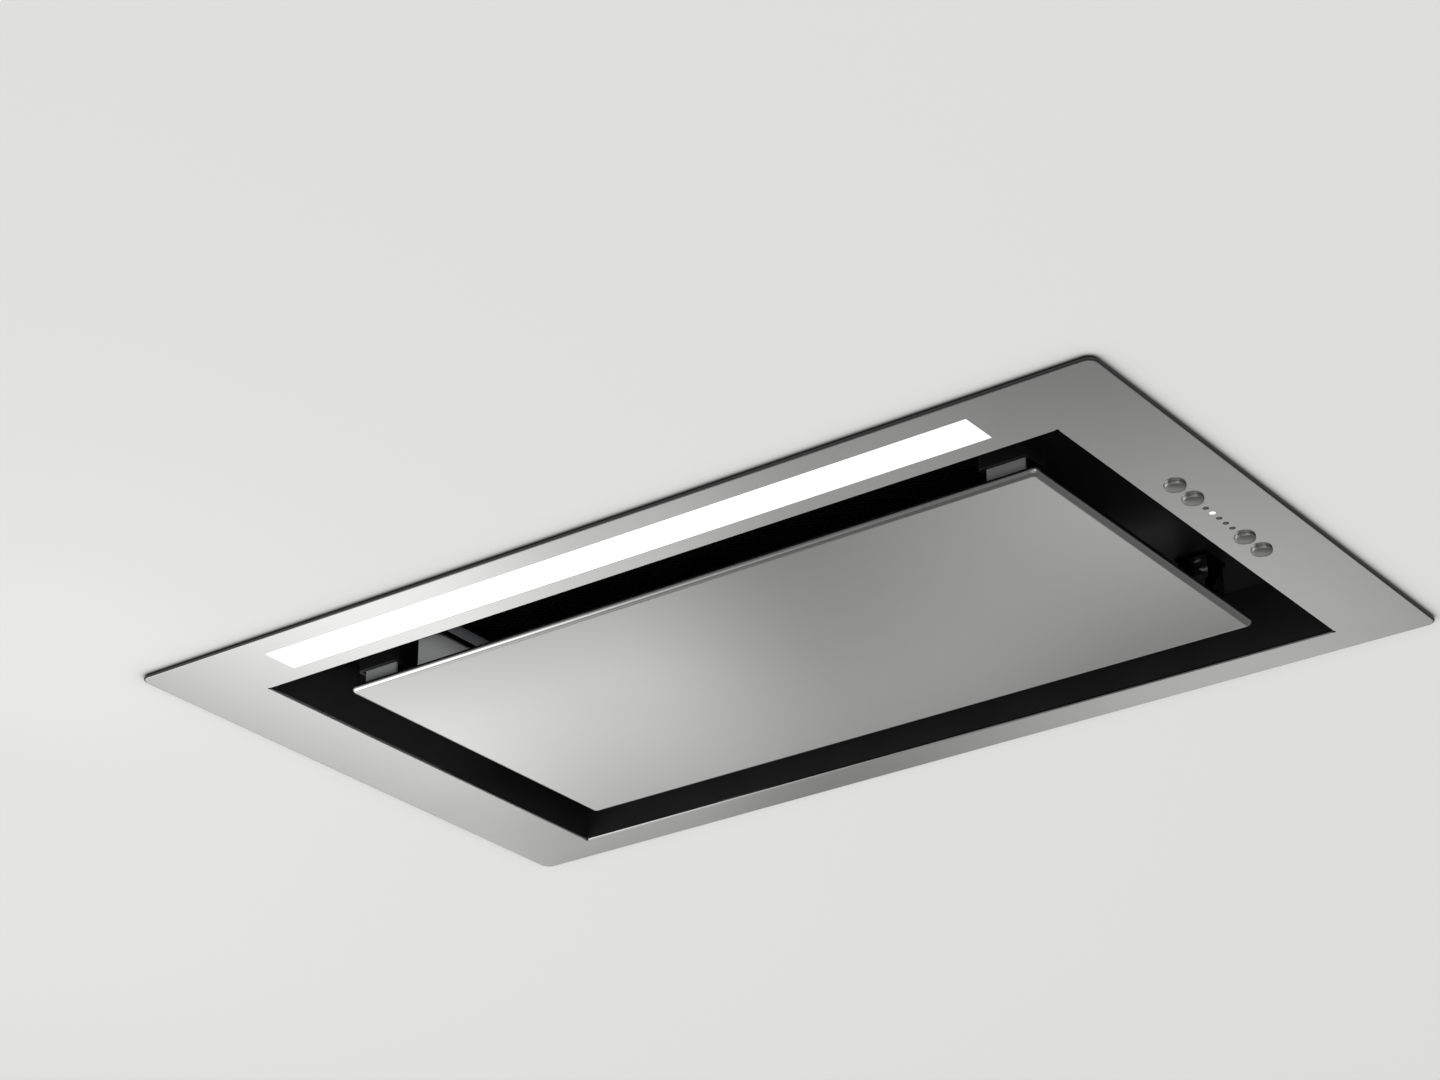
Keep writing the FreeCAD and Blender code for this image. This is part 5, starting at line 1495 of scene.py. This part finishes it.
@dataclass
class Studio:
    """Backdrop just over the foam strip, floor, soft light and camera."""

    cutout: Pair = (500.0, 298.0)
    sheet_gap: float = 0.5
    surround: float = 3600.0
    floor_drop: float = 2500.0
    floor_size: float = 600000.0
    camera_place: tuple[float, float, float] = (0.85354, -1.20943, -0.67855)
    camera_turn: tuple[float, float, float] = (116.409, 0.091, 36.300)
    camera_lens: float = 87.22
    camera_sensor: float = 36.0
    world_light: float = 0.5
    world_seen: float = 0.85
    paper: str = "7C7C7B"
    paper_rough: float = 0.8
    paper_glow: str = "E9E9E8"
    paper_lift: float = 0.80
    shadow_reach: float = 20.0
    shadow_power: float = 2.0
    floor_grey: str = "959595"
    floor_rough: float = 0.9
    # The first six are what the steel mirrors, and the others light the rest.
    soft_boxes: ClassVar[tuple[SoftBox, ...]] = (
        SoftBox("light_middle", 127.73, -25.90, 4.23, 8.69, 0.81),
        SoftBox("light_low", 123.00, -28.60, 6.75, 3.94, 0.73),
        SoftBox("light_high", 132.59, -15.71, 4.88, 5.61, 1.37),
        SoftBox("light_strip", 131.81, -24.12, 8.10, 3.08, 1.78),
        SoftBox("light_right", 113.58, -23.97, 15.20, 9.32, 0.91),
        SoftBox("light_main", 137.45, -27.44, 11.09, 9.40, 2.01),
        SoftBox("light_key", -32.0, -17.0, 30.0, 14.0, 1.6, 3.2),
        SoftBox("light_wide", -60.0, -42.0, 100.0, 60.0, 0.35, 1.8),
        SoftBox("light_left", 195.0, -27.0, 50.0, 24.0, 1.0, 2.6),
        SoftBox("light_near", 216.25, -23.3, 23.3, 23.3, 1.75, 0.405),
        SoftBox("light_edge", 210.8, -34.6, 28.0, 26.0, 2.0, 1.06),
        SoftBox("light_corner", 171.2, -37.8, 30.0, 30.0, 1.6, 0.82),
        SoftBox("light_above_front", -55.0, 48.0, 26.0, 26.0, 3.0),
        SoftBox("light_above_rear", 125.0, 48.0, 26.0, 26.0, 3.0),
    )

    def build(self) -> None:
        """Sets up backdrop, floor, light, camera and view."""
        self.build_backdrop()
        self.build_floor()
        self.build_world()
        for box in self.soft_boxes:
            box.hang()
        self.build_camera()
        bpy.context.scene.view_settings.view_transform = "Standard"

    def seen(self, tree: Tree) -> Socket:
        """Output that is 1 where the camera, a mirror or a glass looks, and 0 for other light.

        Args:
            tree: Node tree that gets the output.

        Returns:
            Number output.
        """
        rays = add(tree, "ShaderNodeLightPath").outputs
        direct = add(tree, "ShaderNodeMath", {0: rays["Is Camera Ray"], 1: rays["Is Glossy Ray"]},
                     operation="MAXIMUM")
        every_look = add(tree, "ShaderNodeMath", {
            0: direct.outputs[0], 1: rays["Is Transmission Ray"]}, operation="MAXIMUM")
        return every_look.outputs[0]

    def build_backdrop(self) -> None:
        """Makes a pale sheet over the frame's rim, round the case, that shows from below only."""
        w, d = self.cutout
        sheet = Workpiece.sheet("backdrop_sheet", (0, 0, self.sheet_gap), w, d)
        sheet.pick(Pick.EDGES, every)
        bpy.ops.mesh.extrude_region_move()
        grow = (self.surround / w, self.surround / d, 1.0)
        bpy.ops.transform.resize(value=grow, center_override=(0, 0, 0))
        sheet.pick(Pick.FACES, lambda p, n: abs(p.x) < 1 and abs(p.y) < 1)
        bpy.ops.mesh.delete(type="FACE")
        sheet.pick(Pick.FACES, lambda p, n: n.z > 0)
        bpy.ops.mesh.flip_normals()
        sheet.done()
        # Paper that glows evenly where it is looked at, with a painted contact shadow: its glow is
        # darker close to the hood.
        material, tree, shader = new_material("backdrop_paper")
        lift = add(tree, "ShaderNodeMath", {0: self.seen(tree), 1: self.paper_lift},
                   operation="MULTIPLY")
        near = add(tree, "ShaderNodeAmbientOcclusion", {"Distance": self.shadow_reach * MM})
        shade = add(tree, "ShaderNodeMath", {0: near.outputs["AO"], 1: self.shadow_power},
                    operation="POWER")
        glow = add(tree, "ShaderNodeMath", {0: lift.outputs[0], 1: shade.outputs[0]},
                   operation="MULTIPLY")
        feed(tree, shader, {"Base Color": linear(self.paper), "Roughness": self.paper_rough,
                            "Emission Color": linear(self.paper_glow),
                            "Emission Strength": glow.outputs[0]})
        behind = add(tree, "ShaderNodeNewGeometry").outputs["Backfacing"]
        clear = add(tree, "ShaderNodeBsdfTransparent").outputs["BSDF"]
        mixed = add(tree, "ShaderNodeMixShader", {0: behind, 1: shader.outputs["BSDF"], 2: clear})
        feed(tree, tree.nodes["Material Output"], {"Surface": mixed.outputs["Shader"]})
        sheet.obj.data.materials.append(material)

    def build_floor(self) -> None:
        """Makes the grey floor well below, which the steel mirrors."""
        size = self.floor_size
        floor = Workpiece.sheet("studio_floor", (0, 0, -self.floor_drop), size, size)
        # Matt grey paint.
        material, tree, shader = new_material("floor_painted_grey")
        feed(tree, shader, {"Base Color": linear(self.floor_grey), "Roughness": self.floor_rough})
        floor.obj.data.materials.append(material)

    def build_world(self) -> None:
        """Makes the even light all round, paler where it is seen itself."""
        world = bpy.data.worlds.new("studio")
        bpy.context.scene.world = world
        world.use_nodes = True
        tree = world.node_tree
        strength = add(tree, "ShaderNodeMapRange", {
            "Value": self.seen(tree), "To Min": self.world_light, "To Max": self.world_seen})
        feed(tree, tree.nodes["Background"], {"Color": linear("FFFFFF"),
                                              "Strength": strength.outputs["Result"]})

    def build_camera(self) -> None:
        """Makes the camera at the photograph's viewing angle."""
        camera = bpy.data.cameras.new("photo_view")
        camera.lens = self.camera_lens
        camera.sensor_width = self.camera_sensor
        holder = put("photo_view", camera)
        holder.location = self.camera_place
        holder.rotation_euler = [math.radians(a) for a in self.camera_turn]
        bpy.context.scene.camera = holder


def dress_nodes() -> None:
    """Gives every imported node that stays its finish."""
    for finish, names in NODE_FINISHES:
        finish.dress(*(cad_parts[name] for name in names.split()))


def main() -> None:
    """Builds and dresses the hood and writes how large it came out."""
    logging.basicConfig(level=logging.INFO, format="%(message)s")
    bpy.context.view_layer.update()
    dress_nodes()
    for part in (ControlStrip(), WiringCover(), PanelCatches(), GreaseFilter(), Fasteners(), Case(),
                 Outlet(), ElectronicsBox(), Studio()):
        part.build()
        LOG.info("built %s", type(part).__name__)


if __name__ == "__main__":
    main()
